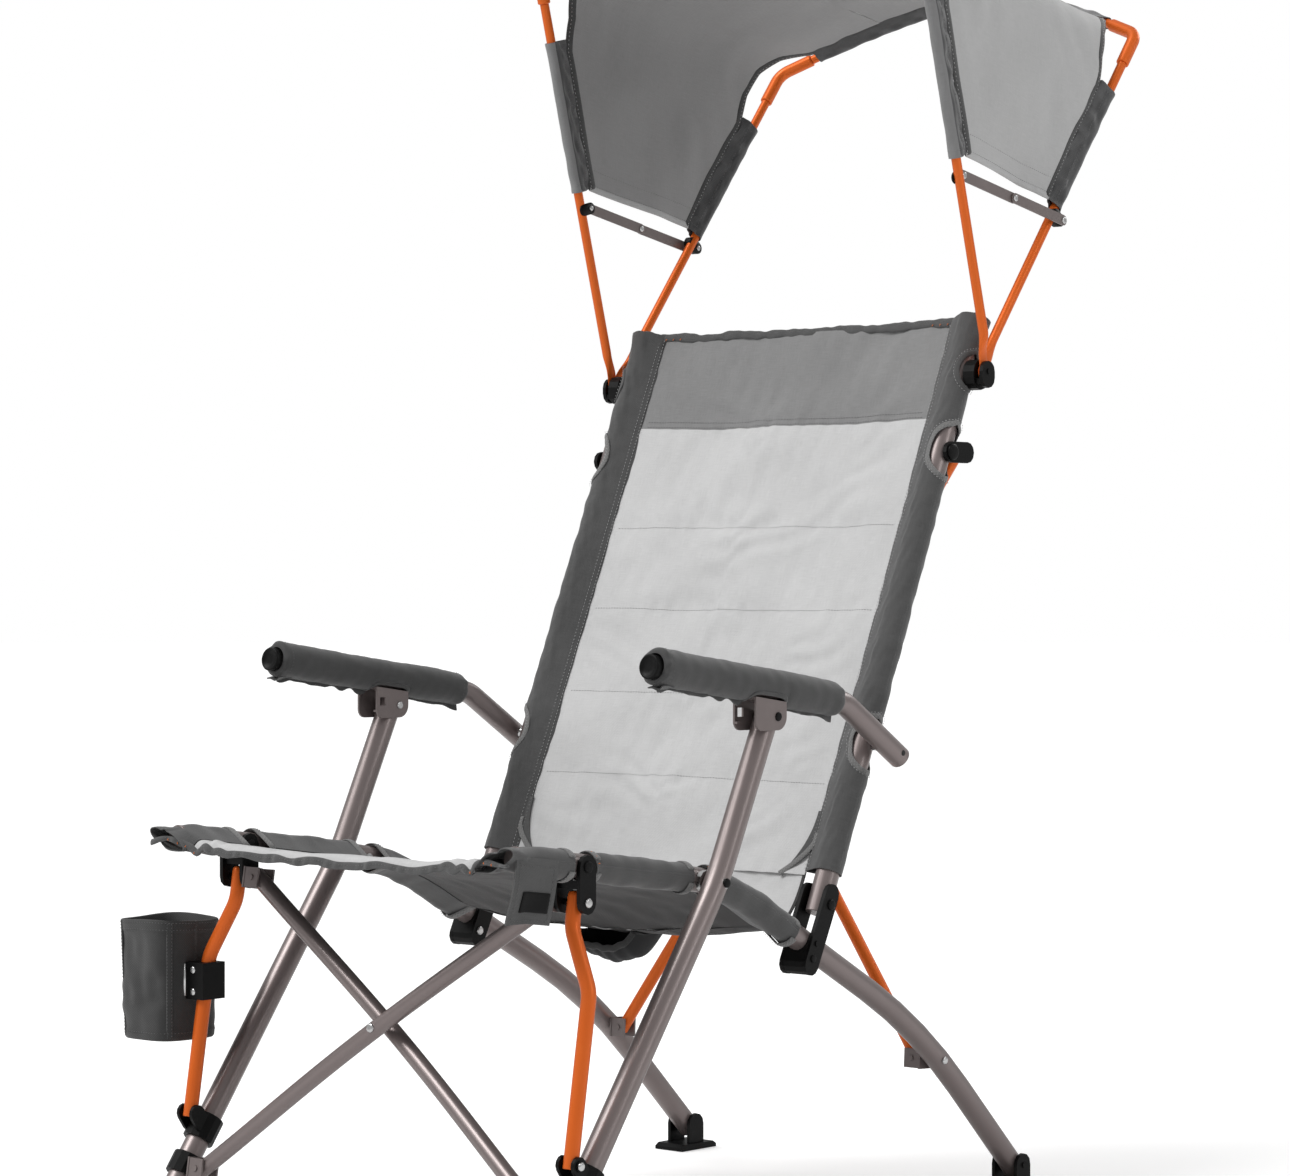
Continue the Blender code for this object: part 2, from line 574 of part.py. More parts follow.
def armrest(s, metal, webbing):
    """The bent arm tube with its end plug, the padded cover over its front and the bracket under it."""
    bend = Vector(ARM_BEND)
    tail = (Vector(POST_ARM_PIVOT) - bend).length + ARM_TAIL
    end = along(ARM_BEND, POST_ARM_PIVOT, tail)
    line = rounded([(s * LEG_X, *p) for p in (ARM_FRONT, ARM_BEND, end)], [ARM_BEND_R])
    inner = RAIL_X - TUBE_R - GAP - HEAD_T
    plug_end = along(ARM_FRONT, ARM_BEND, -PLUG_T)
    shapes = [
        sweep(line, ARM_R),
        sweep([(s * LEG_X, *along(ARM_FRONT, ARM_BEND, PLUG_T)), (s * LEG_X, *plug_end)], PLUG_R),
        cross_bar(s, POST_ARM_PIVOT, inner, LEG_X, PIN_R),
        cross_bar(s, POST_ARM_PIVOT, inner, inner + HEAD_T, HEAD_R, THIN_SIDES),
        cross_bar(s, POST_ARM_PIVOT, RAIL_X + TUBE_R + GAP, LEG_X, HEAD_R, THIN_SIDES),
    ]
    origin = (s * LEG_X, *ARM_PIVOT)
    add_piece(side_name("armrest_tube", s), metal, shapes, (), origin)

    inside = ARM_R + GAP
    cover_start = along(ARM_FRONT, ARM_BEND, PAD_START)
    span = (bend - Vector(ARM_FRONT)).length
    cover_end = along(ARM_FRONT, ARM_BEND, span - PAD_END_BACK)
    lift = Vector((0, 0, PAD_RISE))
    start = Vector((s * LEG_X, *cover_start)) + lift
    stop = Vector((s * LEG_X, *cover_end)) + lift
    heading = (stop - start).normalized()
    shapes = [sweep([start, start + heading * PLUG_T, stop - heading * PLUG_T, stop], PAD_R)]
    cuts = [sweep([(s * LEG_X, *along(ARM_FRONT, ARM_BEND, -OVERRUN)), (s * LEG_X, *ARM_BEND)], inside)]
    mouth = [along(ARM_FRONT, ARM_BEND, reach) for reach in (-OVERRUN, PLUG_T + GAP)]
    cuts.append(sweep([(s * LEG_X, *place) for place in mouth], PLUG_R + GAP))
    wide = TUBE_R + GAP + PLATE_T + GAP
    under = ARM_PIVOT[1] - EAR_R
    cuts.append(
        block(
            (min(s * (LEG_X - wide), s * (LEG_X + wide)), ARM_PIVOT[0] - EAR_FRONT - GAP, under),
            (max(s * (LEG_X - wide), s * (LEG_X + wide)), ARM_PIVOT[0] + EAR_R + GAP, arm_height(ARM_PIVOT[0])),
        )
    )
    add_piece(side_name("armrest_cover", s), webbing, shapes, cuts, origin)

    ear = ear_outline()
    x_in = LEG_X - TUBE_R - GAP - PLATE_T
    x_out = LEG_X + TUBE_R + GAP + PLATE_T
    roof_low = [(y, arm_height(y) - ARM_R - GAP - PLATE_T) for y in (ear[0][0], ear[1][0])]
    roof = roof_low + [(y, arm_height(y) - ARM_R - GAP) for y in (ear[1][0], ear[0][0])]
    tab_y = ARM_PIVOT[0] - EAR_FRONT
    tab = block(
        (min(s * x_in, s * (x_in + EAR_TAB)), tab_y, ARM_PIVOT[1] - EAR_R / 2),
        (max(s * x_in, s * (x_in + EAR_TAB)), tab_y + EAR_TAB, ARM_PIVOT[1] - EAR_R / 2 + PLATE_T),
    )
    shapes = [
        slab(s, roof, x_in, x_out),
        slab(s, ear, x_in, x_in + PLATE_T),
        slab(s, ear, x_out - PLATE_T, x_out),
        cross_bar(s, ARM_PIVOT, x_in + PLATE_T / 2, x_out + HEAD_T / 2, PIN_R),
        tab,
    ]
    hole_y = tab_y + EAR_HOLE
    hole_z = ARM_PIVOT[1]
    hole = block(
        (min(s * (x_in - OVERRUN), s * (x_in + PLATE_T + OVERRUN)), hole_y - EAR_HOLE / 2, hole_z),
        (max(s * (x_in - OVERRUN), s * (x_in + PLATE_T + OVERRUN)), hole_y + EAR_HOLE / 2, hole_z + EAR_HOLE),
    )
    add_piece(side_name("armrest_bracket", s), metal, shapes, [hole], origin)


def arm_height(y):
    """The arm tube's axis height at this Y, on its straight run."""
    share = (y - ARM_FRONT[0]) / (ARM_BEND[0] - ARM_FRONT[0])
    return ARM_FRONT[1] + share * (ARM_BEND[1] - ARM_FRONT[1])


def ear_outline():
    """One cheek of the arm bracket: straight along the tube, round under the bolt."""
    front = ARM_PIVOT[0] - EAR_FRONT
    back = ARM_PIVOT[0] + EAR_R
    low = ARM_PIVOT[1] - EAR_R
    outline = [(front, arm_height(front) - ARM_R - GAP), (back, arm_height(back) - ARM_R - GAP)]
    for k in range(7):
        angle = -math.pi / 2 * k / 6
        outline.append((ARM_PIVOT[0] + EAR_R * math.cos(angle), ARM_PIVOT[1] + EAR_R * math.sin(angle)))
    corner = EAR_HOLE
    for k in range(5):
        angle = -math.pi / 2 - math.pi / 2 * k / 4
        outline.append((front + corner + corner * math.cos(angle), low + corner + corner * math.sin(angle)))
    return outline


def strut_line(s):
    top = Vector((s * RAIL_X, *STRUT_TOP))
    low = Vector((s * LEG_X, *STRUT_LOW))
    knee = top.lerp(low, STRUT_KNEE_SHARE)
    knee.x = top.x
    jog = top.lerp(low, STRUT_JOG_SHARE)
    jog.x = low.x
    heading = Vector((0, low.y - jog.y, low.z - jog.z)).normalized()
    tip = low + heading * (PIN_R + PIN_CLEAR + GAP)
    up = Vector((0, top.y - knee.y, top.z - knee.z)).normalized()
    head = top + up * (PIN_R + PIN_CLEAR + GAP)
    return rounded([head, knee, jog, tip], [STRUT_BEND_R, STRUT_BEND_R])


def strut(s, orange):
    """The orange strut: its top in the front link, its foot in the sliding collar, set out between."""
    cuts = [bore(s, STRUT_TOP, RAIL_X - STRUT_R, RAIL_X + STRUT_R)]
    cuts.append(bore(s, STRUT_LOW, LEG_X - STRUT_R, LEG_X + STRUT_R))
    add_piece(side_name("strut", s), orange, [sweep(strut_line(s), STRUT_R, THIN_SIDES)], cuts, (s * RAIL_X, *STRUT_TOP))


def leg_ring(s, distance, half):
    """A collar round the front leg, this far below the seat pivot."""
    ends = [(s * LEG_X, *leg_point(distance - half)), (s * LEG_X, *leg_point(distance + half))]
    return sweep(ends, COLLAR_R, TUBE_SIDES)


def leg_room(s, distance, half):
    """The cut that lets the front leg through a collar."""
    reach = half + OVERRUN
    ends = [(s * LEG_X, *leg_point(distance - reach)), (s * LEG_X, *leg_point(distance + reach))]
    return sweep(ends, TUBE_R + GAP, TUBE_SIDES)


def slide_station():
    """How far below the seat pivot the strut's foot stands, and how far ahead of the leg."""
    down = (Vector(leg_point(1.0)) - Vector(leg_point(0.0))).normalized()
    front = Vector((down.y, -down.x))
    offset = Vector(STRUT_LOW) - Vector(SEAT_PIVOT)
    return offset.dot(down), offset.dot(front)


def slide_collar(s, plastic):
    """The collar that slides on the front leg, with two ears that carry the strut's foot."""
    station, ahead = slide_station()
    centre = station + CLEVIS_R / 2
    ear_in = LEG_X - STRUT_R - GAP - CLEVIS_T
    ear_out = LEG_X + STRUT_R + GAP + CLEVIS_T
    root = leg_point(centre, TUBE_R)
    cheek = obround(STRUT_LOW, root, CLEVIS_R)
    shapes = [
        leg_ring(s, centre, COLLAR_HALF),
        slab(s, cheek, ear_in, ear_in + CLEVIS_T),
        slab(s, cheek, ear_out - CLEVIS_T, ear_out),
        cross_bar(s, STRUT_LOW, ear_out - CLEVIS_T / 2, ear_out + HEAD_T / 2, HEAD_R, THIN_SIDES),
    ]
    cuts = [leg_room(s, centre, COLLAR_HALF)]
    add_piece(side_name("slide_collar", s), plastic, shapes, cuts, (s * LEG_X, *leg_point(centre)))


def brace_collar(s, plastic):
    """The fixed collar near the front foot, with a flat boss for the brace bracket."""
    inner = LEG_X - COLLAR_R
    boss = cross_bar(s, BRACE_COLLAR, inner, LEG_X - TUBE_R - GAP - COLLAR_T / 2, BRACE_COLLAR_HALF, THIN_SIDES)
    shapes = [leg_ring(s, BRACE_COLLAR_DOWN, BRACE_COLLAR_HALF), boss]
    cuts = [leg_room(s, BRACE_COLLAR_DOWN, BRACE_COLLAR_HALF)]
    cuts.append(bore(s, BRACE_COLLAR, inner, LEG_X - TUBE_R - GAP - COLLAR_T / 2))
    add_piece(side_name("brace_collar", s), plastic, shapes, cuts, (s * LEG_X, *BRACE_COLLAR))


def brace_plane(low, high):
    """The side-frame direction of a brace pair's plane, and of the pins square to it."""
    up = (Vector(high) - Vector(low)).normalized()
    return up, Vector((up.y, -up.x))


def cheek_pair(s, place, plane, x0, x1, reach, half):
    """Two flat cheeks beside a brace tube, square to its pin."""
    up, pin = plane
    cheeks = []
    for side in (-1, 1):
        centre = Vector(place) + pin * side * (reach + PLATE_T / 2)
        middle = (s * (x0 + x1) / 2, *centre)
        cheeks.append(turned_block(middle, (1, 0, 0), abs(x1 - x0) / 2, (0, *pin), PLATE_T / 2, half))
    return cheeks


def pin_bar(s, place, plane, x, start, end, radius=PIN_R):
    """A brace pin, or a stub of it, between two distances from the brace's middle."""
    pin = plane[1]
    ends = [(s * x, *(Vector(place) + pin * reach)) for reach in (start, end)]
    return sweep(ends, radius, PIN_SIDES)


def brace_bracket(s, name, place, plane, pin_x, base_x, tube_r, bolt_to, material):
    """A small channel: a base against its carrier, two cheeks beside the brace tube and the tube's pin."""
    reach = tube_r + BRACE_PLAY
    nose = pin_x - BRACKET_NOSE
    base = (s * (base_x - PLATE_T / 2), *place)
    half = BRACKET_HALF - PLATE_T / 4
    wide = reach + PLATE_T + PLATE_T / 4
    shapes = [turned_block(base, (1, 0, 0), PLATE_T / 2, (0, *plane[1]), wide, BRACKET_HALF)]
    shapes += cheek_pair(s, place, plane, nose, base_x - PLATE_T / 2, reach, half)
    if bolt_to is not None:
        shapes.append(cross_bar(s, place, base_x - PLATE_T / 2, bolt_to, PIN_R))
    ends = reach + PLATE_T + HEAD_T / 2
    shapes.append(pin_bar(s, place, plane, pin_x, -ends, ends))
    add_piece(side_name(name, s), material, shapes, (), (s * base_x, *place))


def brace_line(s, low, low_x, high, high_x, bow):
    """From a low pin on this side to the high pin on the other, bowed out of its plane at the crossing."""
    start = Vector((s * low_x, *low))
    end = Vector((-s * high_x, *high))
    heading = (end - start).normalized()
    out = Vector((0, *brace_plane(low, high)[1]))
    line = [start - heading * BRACE_TIP]
    for k in range(1, BRACE_STEPS):
        share = k / BRACE_STEPS
        line.append(start.lerp(end, share) + out * s * bow * math.sin(math.pi * share) ** BOW_SHAPE)
    line.append(end + heading * BRACE_TIP)
    return line


def brace(s, name, low, low_x, high, high_x, radius, bow, material, high_hole=False):
    plane = brace_plane(low, high)
    shapes = [sweep(brace_line(s, low, low_x, high, high_x, bow), radius, THIN_SIDES)]
    reach = radius + OVERRUN
    cuts = [pin_bar(s, low, plane, low_x, -reach, reach, PIN_R + PIN_CLEAR)]
    if high_hole:
        cuts.append(pin_bar(-s, high, plane, high_x, -reach, reach, PIN_R + PIN_CLEAR))
    add_piece(side_name(name, s), material, shapes, cuts, (s * low_x, *low))


def rear_brace_head(s, plastic):
    """The holder at the back post: a cap outside, an arm past the tube and a fork behind it."""
    head = post_point(REAR_BRACE_UP_Z)
    x_out = RAIL_X + TUBE_R + GAP
    plane = brace_plane(REAR_BRACE_DOWN, REAR_HIGH)
    reach = REAR_BRACE_R + FORK_PLAY
    nose = REAR_HIGH_X - BRACKET_NOSE
    shapes = [
        slab(s, obround(head, REAR_HIGH, CAP_R), x_out, x_out + CAP_T),
        cross_bar(s, head, RAIL_X - TUBE_R - HEAD_T, x_out + CAP_T / 2, PIN_R),
        cross_bar(s, head, RAIL_X - TUBE_R - GAP - HEAD_T, RAIL_X - TUBE_R - GAP, HEAD_R, THIN_SIDES),
    ]
    shapes += cheek_pair(s, REAR_HIGH, plane, nose, x_out + CAP_T / 2, reach, REAR_BRACE_HEAD_HALF)
    add_piece(side_name("rear_brace_head", s), plastic, shapes, (), (s * RAIL_X, *head))


def shoe(s, name, place, offset, rubber):
    """A foot: a flat sole with two ears and the bolt that the leg's end turns on."""
    y, z = place
    half_l = SHOE_LENGTH / 2
    outline = [(y - half_l, 0), (y + half_l, 0), (y + half_l, SHOE_T / 2), (y + half_l - SHOE_BEVEL, SHOE_T)]
    outline += [(y - half_l + SHOE_BEVEL, SHOE_T), (y - half_l, SHOE_T / 2)]
    ear = obround((y, SHOE_T), place, SHOE_EAR_R)
    ear = [(a, max(b, SHOE_T / 2)) for a, b in ear]
    x_in = offset - TUBE_R - GAP - SHOE_EAR_T
    x_out = offset + TUBE_R + GAP + SHOE_EAR_T
    shapes = [
        slab(s, outline, offset - SHOE_WIDTH / 2, offset + SHOE_WIDTH / 2),
        slab(s, ear, x_in, x_in + SHOE_EAR_T),
        slab(s, ear, x_out - SHOE_EAR_T, x_out),
        cross_bar(s, place, x_in + SHOE_EAR_T / 2, x_out + HEAD_T / 2, PIN_R),
    ]
    add_piece(side_name(name, s), rubber, shapes, (), (s * offset, *place))


def hub_bracket(s, plastic):
    """The canopy's hub: a block outside the post, with a slot for the rods' pinched ends and a cheek outside."""
    y, z = post_point(HUB_Z)
    low = z - HUB_FLOOR
    heel = (y, z - HUB_HALF / 2)
    cheek = obround((y, z), heel, HUB_HALF - OVERRUN / 2)
    floor_half = HUB_HALF - OVERRUN
    floor = [(y - floor_half, low), (y - floor_half, low - HUB_FLOOR_T)]
    floor += [(y + floor_half, low - HUB_FLOOR_T), (y + floor_half, low)]
    shapes = [
        slab(s, floor, HUB_IN_X + GAP, HUB_OUT_X + HUB_PLATE_T - GAP),
        slab(s, obround((y, z), heel, HUB_HALF), HUB_IN_X, HUB_SLOT_IN),
        slab(s, cheek, HUB_OUT_X, HUB_OUT_X + HUB_PLATE_T),
        cross_bar(s, (y, z), HUB_SLOT_IN - GAP, HUB_OUT_X + HUB_PLATE_T + HEAD_T / 2, PIN_R),
    ]
    add_piece(side_name("hub_bracket", s), plastic, shapes, (), (s * RAIL_X, y, z))


def arch_heading(angle, offset):
    """The direction in which an arch rod leaves its left elbow, in the bow's plane."""
    near = arch_point(angle, offset, offset)
    far = arch_point(angle, offset, offset - ELBOW_LENGTH)
    return (far - near).normalized()


def canopy_leg(s, name, angle, offset, stay_at, behind, orange):
    """One leg of a bow: a pinched end on the hub bolt, the rod, the elbow sleeve and the clip for the stay."""
    hub = Vector(post_point(HUB_Z))
    outward = 1 if offset > HUB_X else -1
    blade_x = HUB_X + outward * (ROD_SPACE / 2 + BLADE_T / 2)
    reach = BLADE_LENGTH + BLADE_TAPER
    up = (Vector(bow_point(angle, reach)) - hub).normalized()
    places = [
        (s * blade_x, *(hub - up * BLADE_R)),
        (s * blade_x, *(hub - up * BLADE_R / 2)),
        (s * blade_x, *hub),
        (s * blade_x, *(hub + up * BLADE_LENGTH)),
        (s * offset, *bow_point(angle, reach)),
    ]
    edge = BLADE_R * math.sqrt(3) / 2
    flat = [(BLADE_T / 2, BLADE_R / 2), (BLADE_T / 2, edge), (BLADE_T / 2, BLADE_R), (BLADE_T / 2, BLADE_R)]
    corner = Vector((s * offset, *bow_point(angle, BOW_R)))
    heading = arch_heading(angle, offset)
    heading.x *= s
    leg = (corner - Vector(places[-1])).normalized()
    places.append(corner - leg * (ELBOW_LENGTH - OVERRUN))
    flat += [(ROD_R, ROD_R)] * 2
    elbow = rounded([corner - leg * ELBOW_LENGTH, corner, corner + heading * ELBOW_LENGTH], [ELBOW_BEND_R])
    pivot = bow_point(angle, stay_at, behind)
    clip = slab(s, obround(bow_point(angle, stay_at), pivot, CLIP_HALF), offset - ROD_R / 2, STAY_X - GAP)
    if offset > HUB_X:
        clip = slab(s, obround(bow_point(angle, stay_at), pivot, CLIP_HALF), STAY_X - GAP - CLIP_T, STAY_X - GAP)
    shapes = [
        sweep(places, ROD_R, THIN_SIDES, flat),
        clip,
        sweep(elbow, ELBOW_R, THIN_SIDES),
    ]
    cuts = [bore(s, hub, blade_x - BLADE_T, blade_x + BLADE_T), bore(s, pivot, offset - ROD_R, STAY_X, RIVET_R + PIN_CLEAR)]
    add_piece(side_name(name, s), orange, shapes, cuts, (s * offset, *hub))


def stay(s, name, pivot, middle, x0, metal):
    """A flat bar of the toggle stay, with its rivet through the leg's clip."""
    shapes = [slab(s, obround(pivot, middle, STAY_HALF), x0, x0 + STAY_T)]
    shapes.append(cross_bar(s, pivot, STAY_X - CLIP_T - GAP, x0 + STAY_T + HEAD_T / 2, RIVET_R))
    add_piece(side_name(name, s), metal, shapes, (), (s * x0, *pivot))


def arch(name, angle, offset, orange):
    """The cross rod of a bow, from one elbow sleeve to the other."""
    heading = arch_heading(angle, offset)
    end = offset + (ELBOW_LENGTH + GAP) * heading.x
    socket = Vector((offset, *bow_point(angle, BOW_R))) + heading * (ELBOW_LENGTH + GAP)
    line = []
    for k in range(ARCH_STEPS + 1):
        x = end * (1 - 2 * k / ARCH_STEPS)
        line.append(arch_point(angle, offset, x))
    line[0] = socket
    line[-1] = Vector((-socket.x, socket.y, socket.z))
    add_piece(name, orange, [sweep(line, ROD_R, THIN_SIDES)])


def sleeve_parts(s, line, starts):
    """Fabric sleeves along a tube line, between pairs of Y places."""
    parts = []
    for y0, y1 in starts:
        inside = [p for p in line if y0 < p.y < y1]
        ends = [point_at_y(line, y0)] + inside + [point_at_y(line, y1)]
        parts.append(sweep(ends, TUBE_R + SLEEVE_CLEAR + SLEEVE_T))
    return parts


def point_at_y(line, y):
    """The point of a line where it passes this Y."""
    for a, b in zip(line, line[1:]):
        if min(a.y, b.y) <= y <= max(a.y, b.y):
            return a.lerp(b, (y - a.y) / (b.y - a.y))
    return line[0] if abs(line[0].y - y) < abs(line[-1].y - y) else line[-1]


def seat_path():
    """The seat's unloaded line in the side view, front to rear: along the rails, then a curve up to the back.

    Each place comes with the direction in which the sheet sags there, and how far."""
    left = rail_line(1)
    rows = []
    for r in range(SEAT_ROWS):
        share = r / (SEAT_ROWS - 1)
        y = SEAT_FRONT_Y + (SEAT_TURN_Y - SEAT_FRONT_Y) * share
        z = point_at_y(left, max(y, RAIL_FRONT[0])).z
        depth = SEAT_SAG * (SAG_EDGE_SHARE + (1 - SAG_EDGE_SHARE) * math.sin(math.pi / 2 * share))
        rows.append((Vector((y, z)), Vector((0, -1)), depth))
    start = rows[-1][0]
    end = Vector(post_point(BACK_LOW_Z)) - Vector((POST_LEAN, 1)) * 2 * GAP
    slope = (RAIL_HIP[1] - RAIL_KNEE[1]) / (RAIL_HIP[0] - RAIL_KNEE[0])
    rise = (end.y - start.y - slope * (end.x - start.x)) / (1 - slope * POST_LEAN)
    middle = end - Vector((POST_LEAN, 1)) * rise
    for r in range(1, TURN_ROWS + 1):
        share = r / TURN_ROWS
        place = start.lerp(middle, share).lerp(middle.lerp(end, share), share)
        tangent = (start.lerp(middle, share) - middle.lerp(end, share)).normalized()
        depth = SEAT_SAG + (BACK_SAG * LOW_SAG_SHARE - SEAT_SAG) * share
        rows.append((place, Vector((-tangent.y, tangent.x)), depth))
    return rows


def seat_grid():
    grid = []
    for r, (place, down, depth) in enumerate(seat_path()):
        hem = SEAT_HEM_DROP if r == 0 else 0.0
        reach = RAIL_X if place.x < SEAT_SLEEVE_END_Y else LINK_IN_X - 2 * OVERRUN
        row = []
        for c in range(SLING_COLUMNS):
            x = reach * (2 * c / (SLING_COLUMNS - 1) - 1)
            y, z = place + down * depth * (1 - (x / RAIL_X) ** 2)
            row.append((x, y, z - hem))
        grid.append(row)
    return np.array(grid)


def height_on(grid, x, y):
    """The height of a grid's flat facets at a place, read between its rows and its columns."""
    across = [np.interp(x, row[:, 0], row[:, 1]) for row in grid]
    heights = [np.interp(x, row[:, 0], row[:, 2]) for row in grid]
    return float(np.interp(y, across, heights))


def seat_sling(webbing):
    """The seat: one sagging sheet, sleeves round both rails with gaps at the links, and a turned-down hem."""
    shapes = [cloth(seat_grid(), CLOTH_T)]
    gap = LINK_R + OVERRUN
    runs = [
        (RAIL_FRONT[0] + OVERRUN, FRONT_LINK_Y - gap),
        (FRONT_LINK_Y + gap, SEAT_PIVOT[0] - CAP_R - OVERRUN),
        (SEAT_PIVOT[0] + CAP_R + OVERRUN, SEAT_SLEEVE_END_Y),
    ]
    cuts = []
    for s in (1, -1):
        shapes += sleeve_parts(s, rail_line(s), runs)
        cuts.append(sweep(rail_line(s), TUBE_R + SLEEVE_CLEAR))
        for place, radius in ((FRONT_LINK, LINK_R), (SEAT_PIVOT, CAP_R)):
            y0 = place[0] - radius - OVERRUN / 2
            y1 = place[0] + radius + OVERRUN / 2
            cuts.append(side_box(s, LINK_IN_X - OVERRUN, LEG_X, y0, y1, place[1] - 3 * radius, place[1] + 2 * radius))
    add_piece("seat_sling", webbing, shapes, cuts, solver="MANIFOLD")


def back_sling(webbing):
    """The back: a sheet between the posts, sleeves round them with bound openings, and a top band."""
    rows = SLING_ROWS
    columns = SLING_COLUMNS
    grid = []
    lean = Vector((POST_LEAN, 1.0)).normalized()
    for r in range(rows):
        share = r / (rows - 1)
        height = BACK_LOW_Z + (BACK_TOP_Z - BACK_LOW_Z) * share
        y, z = post_point(height)
        row = []
        for c in range(columns):
            across = 2 * c / (columns - 1) - 1
            full = LOW_SAG_SHARE + (1 - LOW_SAG_SHARE) * math.sin(math.pi * share)
            sag = BACK_SAG * (1 - across**2) * full
            row.append((across * RAIL_X, y + sag * lean.y, z - sag * lean.x))
        grid.append(row)
    shapes = [cloth(grid, CLOTH_T)]
    cuts = []
    slots = ((POST_ARM_PIVOT[1], SLOT_HALF), (REAR_BRACE_UP_Z, SLOT_HALF))
    for s in (1, -1):
        ends = [(s * RAIL_X, *post_point(BACK_LOW_Z)), (s * RAIL_X, *post_point(BACK_TOP_Z))]
        shapes.append(sweep(ends, TUBE_R + SLEEVE_CLEAR + SLEEVE_T))
        low = post_point(BACK_LOW_Z - SLOT_HALF)
        high = post_point(BACK_TOP_Z + SLOT_HALF)
        cuts.append(sweep([(s * RAIL_X, *low), (s * RAIL_X, *high)], TUBE_R + SLEEVE_CLEAR))
        for height, half in slots:
            y = post_point(height)[0]
            inner = RAIL_X - TUBE_R - SLEEVE_T - OVERRUN
            outer = RAIL_X + TUBE_R + SLEEVE_T + OVERRUN
            reach = TUBE_R + SLEEVE_T + OVERRUN
            cuts.append(
                block(
                    (min(s * inner, s * outer), y - reach - half * POST_LEAN, height - half),
                    (max(s * inner, s * outer), y + reach + half * POST_LEAN, height + half),
                )
            )
        y = post_point(HUB_Z)[0]
        inner = RAIL_X + TUBE_R - OVERRUN
        outer = LEG_X
        cuts.append(
            block(
                (min(s * inner, s * outer), y - HUB_SLOT_HALF, HUB_Z - HUB_SLOT_HALF - OVERRUN),
                (max(s * inner, s * outer), y + HUB_SLOT_HALF, HUB_Z + HUB_SLOT_HALF),
            )
        )
    add_piece("back_sling", webbing, shapes, cuts)


def pouch(webbing):
    """A soft pocket that hangs under the seat."""
    rows = 9
    columns = 9
    sheet = seat_grid()
    top = []
    low = []
    for r in range(rows):
        share = r / (rows - 1)
        y = POUCH_FRONT_Y + POUCH_LENGTH * share
        top_row = []
        low_row = []
        for c in range(columns):
            across = 2 * c / (columns - 1) - 1
            x = across * POUCH_WIDTH / 2
            z = height_on(sheet, x, y) - CLOTH_T - OVERRUN * share
            belly = math.sin(math.pi * share) ** 0.6 * (1 - across**4)
            top_row.append((x, y, z))
            low_row.append((x, y, z - OVERRUN - POUCH_DROP * belly))
        top.append(top_row)
        low.append(low_row)
    verts = [Vector(p) for row in top for p in row] + [Vector(p) for row in low for p in row]
    count = rows * columns
    faces = []
    at = np.arange(count).reshape(rows, columns)
    for r in range(rows - 1):
        for c in range(columns - 1):
            quad = [int(q) for q in (at[r, c], at[r + 1, c], at[r + 1, c + 1], at[r, c + 1])]
            faces.append(tuple(quad))
            faces.append(tuple(q + count for q in reversed(quad)))
    rim = list(at[:, 0]) + list(at[-1, 1:]) + list(at[-2::-1, -1]) + list(at[0, -2:0:-1])
    for a, b in zip(rim, rim[1:] + rim[:1]):
        faces.append((int(b), int(a), int(a) + count, int(b) + count))
    add_piece("pouch", webbing, [(verts, faces)])


def bow_line(s, angle, offset):
    """The canopy's path on one bow, from the leg's low end to the middle plane, with its scallop shares."""
    places = []
    for k in range(LEG_ROWS):
        radius = CANOPY_LOW + (CANOPY_HIGH - CANOPY_LOW) * k / (LEG_ROWS - 1)
        places.append((Vector((s * offset, *bow_point(angle, radius))), 0.0))
    middle = (CANOPY_HIGH + BOW_R) / 2
    places.append((Vector((s * offset, *bow_point(angle, middle))), 1.0))
    places.append((arch_point(angle, offset, s * (offset - CANOPY_ARCH_START / 3)), 1.0))
    start = offset - CANOPY_ARCH_START
    for k in range(ARCH_ROWS):
        places.append((arch_point(angle, offset, s * start * (1 - k / (ARCH_ROWS - 1))), 0.0))
    return places


def canopy_grid(s):
    """The canopy's grid from a leg pair to the middle, front to rear, with its edge held off the elbows."""
    front = bow_line(s, FRONT_BOW_ANGLE, FRONT_ROD_X)
    rear = bow_line(s, REAR_BOW_ANGLE, REAR_ROD_X)
    edge = ROD_R + CLOTH_T / 2 + 2 * GAP
    grid = []
    for r, ((a, scallop), (b, _)) in enumerate(zip(front, rear)):
        span = (b - a).length
        inset = (edge + CANOPY_SCALLOP * scallop) / span
        fold = -CANOPY_LIFT + (CANOPY_SAG + CANOPY_LIFT) * min(1.0, r / LEG_ROWS)
        row = []
        for c in range(CANOPY_COLUMNS):
            share = inset + (1 - 2 * inset) * c / (CANOPY_COLUMNS - 1)
            place = a.lerp(b, share)
            hub = Vector((place.x, *post_point(HUB_Z)))
            row.append(place + (hub - place).normalized() * fold * math.sin(math.pi * c / (CANOPY_COLUMNS - 1)))
        grid.append(row)
    return grid


def canopy_pieces(webbing):
    """Three panels sewn edge to edge: two sides with the legs, and the middle over the arches."""
    left = canopy_grid(1)
    split = LEG_ROWS + 3 + round((ARCH_ROWS - 1) * (1 - CENTRE_HALF_SHARE))
    for s in (1, -1):
        grid = canopy_grid(s)[:split]
        lift = s * GAP
        last = [p + Vector((lift, 0, 0)) for p in grid[-1]]
        grid[-1] = last
        add_piece(side_name("canopy_side", s), webbing, [cloth(grid, CLOTH_T)])
    half = left[split - 1 :]
    other = [[Vector((-p.x, p.y, p.z)) for p in row] for row in reversed(half[:-1])]
    add_piece("canopy_middle", webbing, [cloth(half + other, CLOTH_T)])


